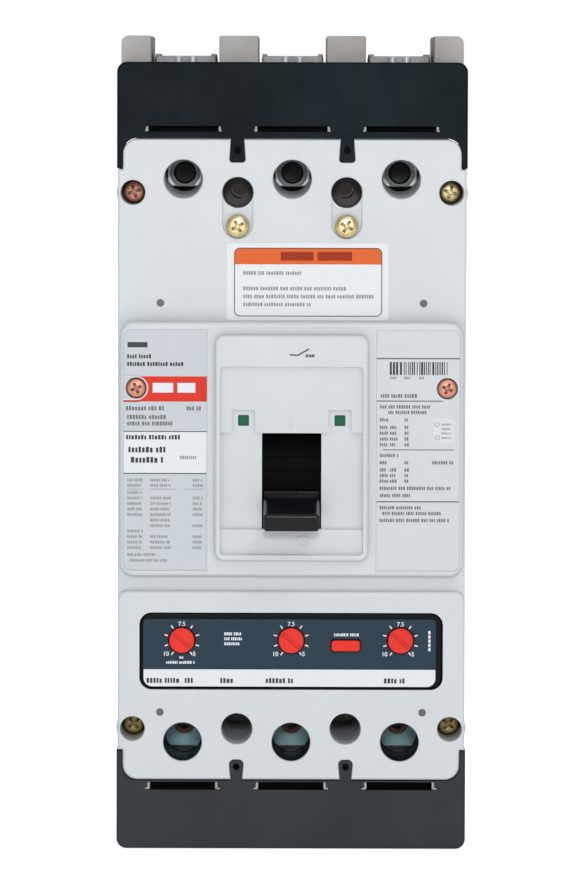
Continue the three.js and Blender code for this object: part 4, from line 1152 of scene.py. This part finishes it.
def make_line_terminal(name, x):
    """A dull lug with a tang in front of it painted paler as a highlight, tapped for a screw that has gone
    in deep.
    """
    top = 162.6
    body = make_lug(x, 131.5, top)
    for sign in (-1, 1):
        lip = round_rect(x + sign * 11.4 - 1, x + sign * 11.4 + 1, 160, top + 0.8, 0.4, 4)
        add(body, prism(lip, 13, 47, edge=0.4, back_edge=0.4))
    cut(body, sharp(circle(x, 30, 8), 140, 168, back_edge=0.6, place=facing_up))
    piece(body, f"line_lug_{name}", "aluminium", DULL_ZINC, f"line_terminal_{name}", angle=30)
    # The bosses are painted paler zinc: painted highlight for the two shining spots.
    bosses = [prism(circle(x + sign * 2.9, 46.6, 2.3, 24), 150, top - 0.2, place=facing_up)
              for sign in (-1, 1)]
    piece(join(bosses), f"line_lug_bosses_{name}", "aluminium", HIGHLIGHT_ZINC)
    half = [(5.2, 109.5), (7.2, 111.5), (7.2, 131.4)]
    tang = prism([(x + a, z) for a, z in half + mirrored(half, -1)], 20.3, 60)
    rim = [(0, 44), (4.6, 44), (4.6, 57.2), (5.1, 57.5), (5.1, 58.4), (6.3, 59.9), (6.3, 62), (0, 62)]
    cut(tang, lathe(rim, x, 115, 0, 48))
    # The tang is painted paler zinc: painted highlight.
    piece(tang, f"line_tang_{name}", "aluminium", HIGHLIGHT_ZINC, angle=30)
    ridges = [point for d in (56.6, 55.4, 54.2, 53) for point in ((4.45, d), (4.0, d - 0.6))]
    stud = [(0, 45), (4.45, 45), (4.45, 56.9)] + ridges + [(0, 52.2)]
    # Near-black: painted shade on the screw deep in the bore.
    piece(lathe(stud, x, 115), f"line_stud_{name}", "plated_steel", SHADE_STEEL)


def make_load_terminal(name, x):
    body = make_lug(x, -153, -131.5)
    add(body, prism(round_rect(x - 7.2, x + 7.2, -133, -108.3, 1, 4), 16.3, 24, edge=0.4))
    cut(body, sharp(circle(x, 30, 8), -156, -138, place=facing_up))
    piece(body, f"load_lug_{name}", "aluminium", ALUMINIUM, f"load_terminal_{name}", angle=30)
    half = [(2.2, 50.4), (2.6, 50.1), (4.1, 50.1), (4.4, 50.4)]
    rim = half + [(radius, 101.4 - depth) for radius, depth in reversed(half)]
    piece(lathe(rim + rim[:1], x, -111), f"load_washer_{name}", "copper", DARK_COPPER)


for pole_name, pole_sign in POLES:
    make_line_terminal(pole_name, pole_sign * POLE)
    make_load_terminal(pole_name, pole_sign * POLE)


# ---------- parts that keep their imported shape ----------
def dress(node, material, width=0.25):
    """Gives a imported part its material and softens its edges."""
    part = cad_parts[node]
    part.data.materials.clear()
    part.data.materials.append(material)
    rounding = part.modifiers.new("rounding", "BEVEL")
    rounding.width = width * MM
    rounding.segments = 2
    rounding.limit_method = "ANGLE"
    rounding.angle_limit = radians(40)
    rounding.harden_normals = False


def dress_inner_parts():
    for name, _ in POLES:
        for node, material in (("line_conductor", COPPER), ("load_conductor", TINNED_COPPER),
                               ("contact_arm", COPPER)):
            dress(f"{node}_{name}", material)
        for node, material in (("arc_chute", STEEL), ("bimetal", SPRING), ("flexible_shunt", COPPER)):
            dress(f"{node}_{name}", material, 0.15)
    for node in ("mechanism_frame", "cradle", "upper_toggle_link", "lower_toggle_link", "toggle_pin",
                 "handle_yoke"):
        dress(node, STEEL)
    for node in ("mechanism_spring_left", "mechanism_spring_right", "button_spring"):
        dress(node, SPRING, 0.05)
    for node in ("crossbar", "trip_bar"):
        dress(node, PHENOLIC)


base = polished("base", 0.5, 2, 40)
piece(base, "base_moulding", "light_grey_plastic", COVER_GREY, "base", angle=42)
dress_inner_parts()


# ---------- camera, light and floor ----------
def place_camera():
    """A long lens a little above the middle, shifted down, so that heights stay almost true."""
    target = Vector((0, -0.090, 0.00507))
    elevation, distance, view_height, shift = radians(4.3), 1.95, 0.3601, -0.15
    camera = linked("camera", bpy.data.cameras.new("camera"))
    camera.location = target + Vector((0, -cos(elevation), sin(elevation))) * distance
    pitch = elevation + atan(shift * view_height / distance)
    turn = Matrix.Rotation(pi / 2 - pitch, 4, "X") @ Matrix.Rotation(radians(0.15), 4, "Z")
    camera.matrix_world = Matrix.Translation(camera.location) @ turn
    camera.data.sensor_width = 36
    camera.data.lens = 36 * distance / view_height
    camera.data.shift_y = shift
    camera.data.clip_start = 0.1
    camera.data.clip_end = 50
    bpy.context.scene.camera = camera


def area_light(name, location, aim, size, power):
    data = bpy.data.lights.new(name, "AREA")
    data.shape = "RECTANGLE"
    data.size, data.size_y = size
    data.energy = power
    light = linked(name, data)
    light.location = location
    light.rotation_euler = (Vector(aim) - Vector(location)).to_track_quat("-Z", "Y").to_euler()


def camera_ray(tree):
    return add_node(tree, "LightPath").outputs["Is Camera Ray"]


def make_world():
    """A white surround whose light comes mostly from overhead."""
    world = bpy.data.worlds.new("studio")
    bpy.context.scene.world = world
    world.use_nodes = True
    tree = world.node_tree
    split = add_node(tree, "SeparateXYZ", Vector=add_node(tree, "TexCoord").outputs["Generated"])
    soft = feed(tree, tree.nodes["Background"], Color=(0.97, 0.985, 1),
                Strength=remap(tree, split.outputs["Z"], 0.2, 0.66, 0, 1))
    seen = add_node(tree, "Background", Color=(1, 1, 1), Strength=1.0)
    mix_shaders(tree, camera_ray(tree), soft.outputs["Background"], seen.outputs["Background"],
                "World Output")


def stage_sheet(name, corners):
    mesh = bpy.data.meshes.new(name)
    mesh.from_pydata(corners, [], [(0, 1, 2, 3)])
    sheet = linked(name, mesh)
    material, tree, shader = new_material(name)
    sheet.data.materials.append(material)
    return tree, shader


def make_shade_card():
    """A small dark card far behind, seen only through the upper mounting holes: painted shade that keeps
    them dark inside.
    """
    x, y, low, high = 0.075, 3, 0.003, 0.055
    tree, shader = stage_sheet("shade_card", [(-x, y, low), (x, y, low), (x, y, high), (-x, y, high)])
    feed(tree, shader, Base_Color=(0.03, 0.022, 0.018), Roughness=0.9)


def make_floor():
    """A pale floor that looks white to the camera, and so has no visible far edge."""
    z = CAD_BOUNDS[0][2] - 0.0003
    tree, shader = stage_sheet("floor", [(-6, -5, z), (6, -5, z), (6, 6, z), (-6, 6, z)])
    feed(tree, shader, Base_Color=(0.93, 0.93, 0.93), Emission_Color=(1, 1, 1), Emission_Strength=0.36,
         Roughness=0.8)
    glow = add_node(tree, "Emission", Strength=1.5)
    mix_shaders(tree, remap(tree, camera_ray(tree), 0, 0.42, 0, 1), shader.outputs["BSDF"],
                glow.outputs["Emission"], "Material Output")


def make_stage():
    make_floor()
    make_world()
    make_shade_card()
    middle = (0, -0.05, 0.0)
    area_light("key", (0.9, -2.4, 2.6), middle, (1.0, 1.0), 16)
    area_light("head_light", (0.02, -3.01, 0.675), middle, (0.35, 0.35), 26)
    area_light("low_light", (-0.3, -2.2, 0.05), (0, -0.05, -0.08), (1.2, 0.3), 2.0)
    bpy.context.scene.view_settings.view_transform = "Standard"


place_camera()
make_stage()
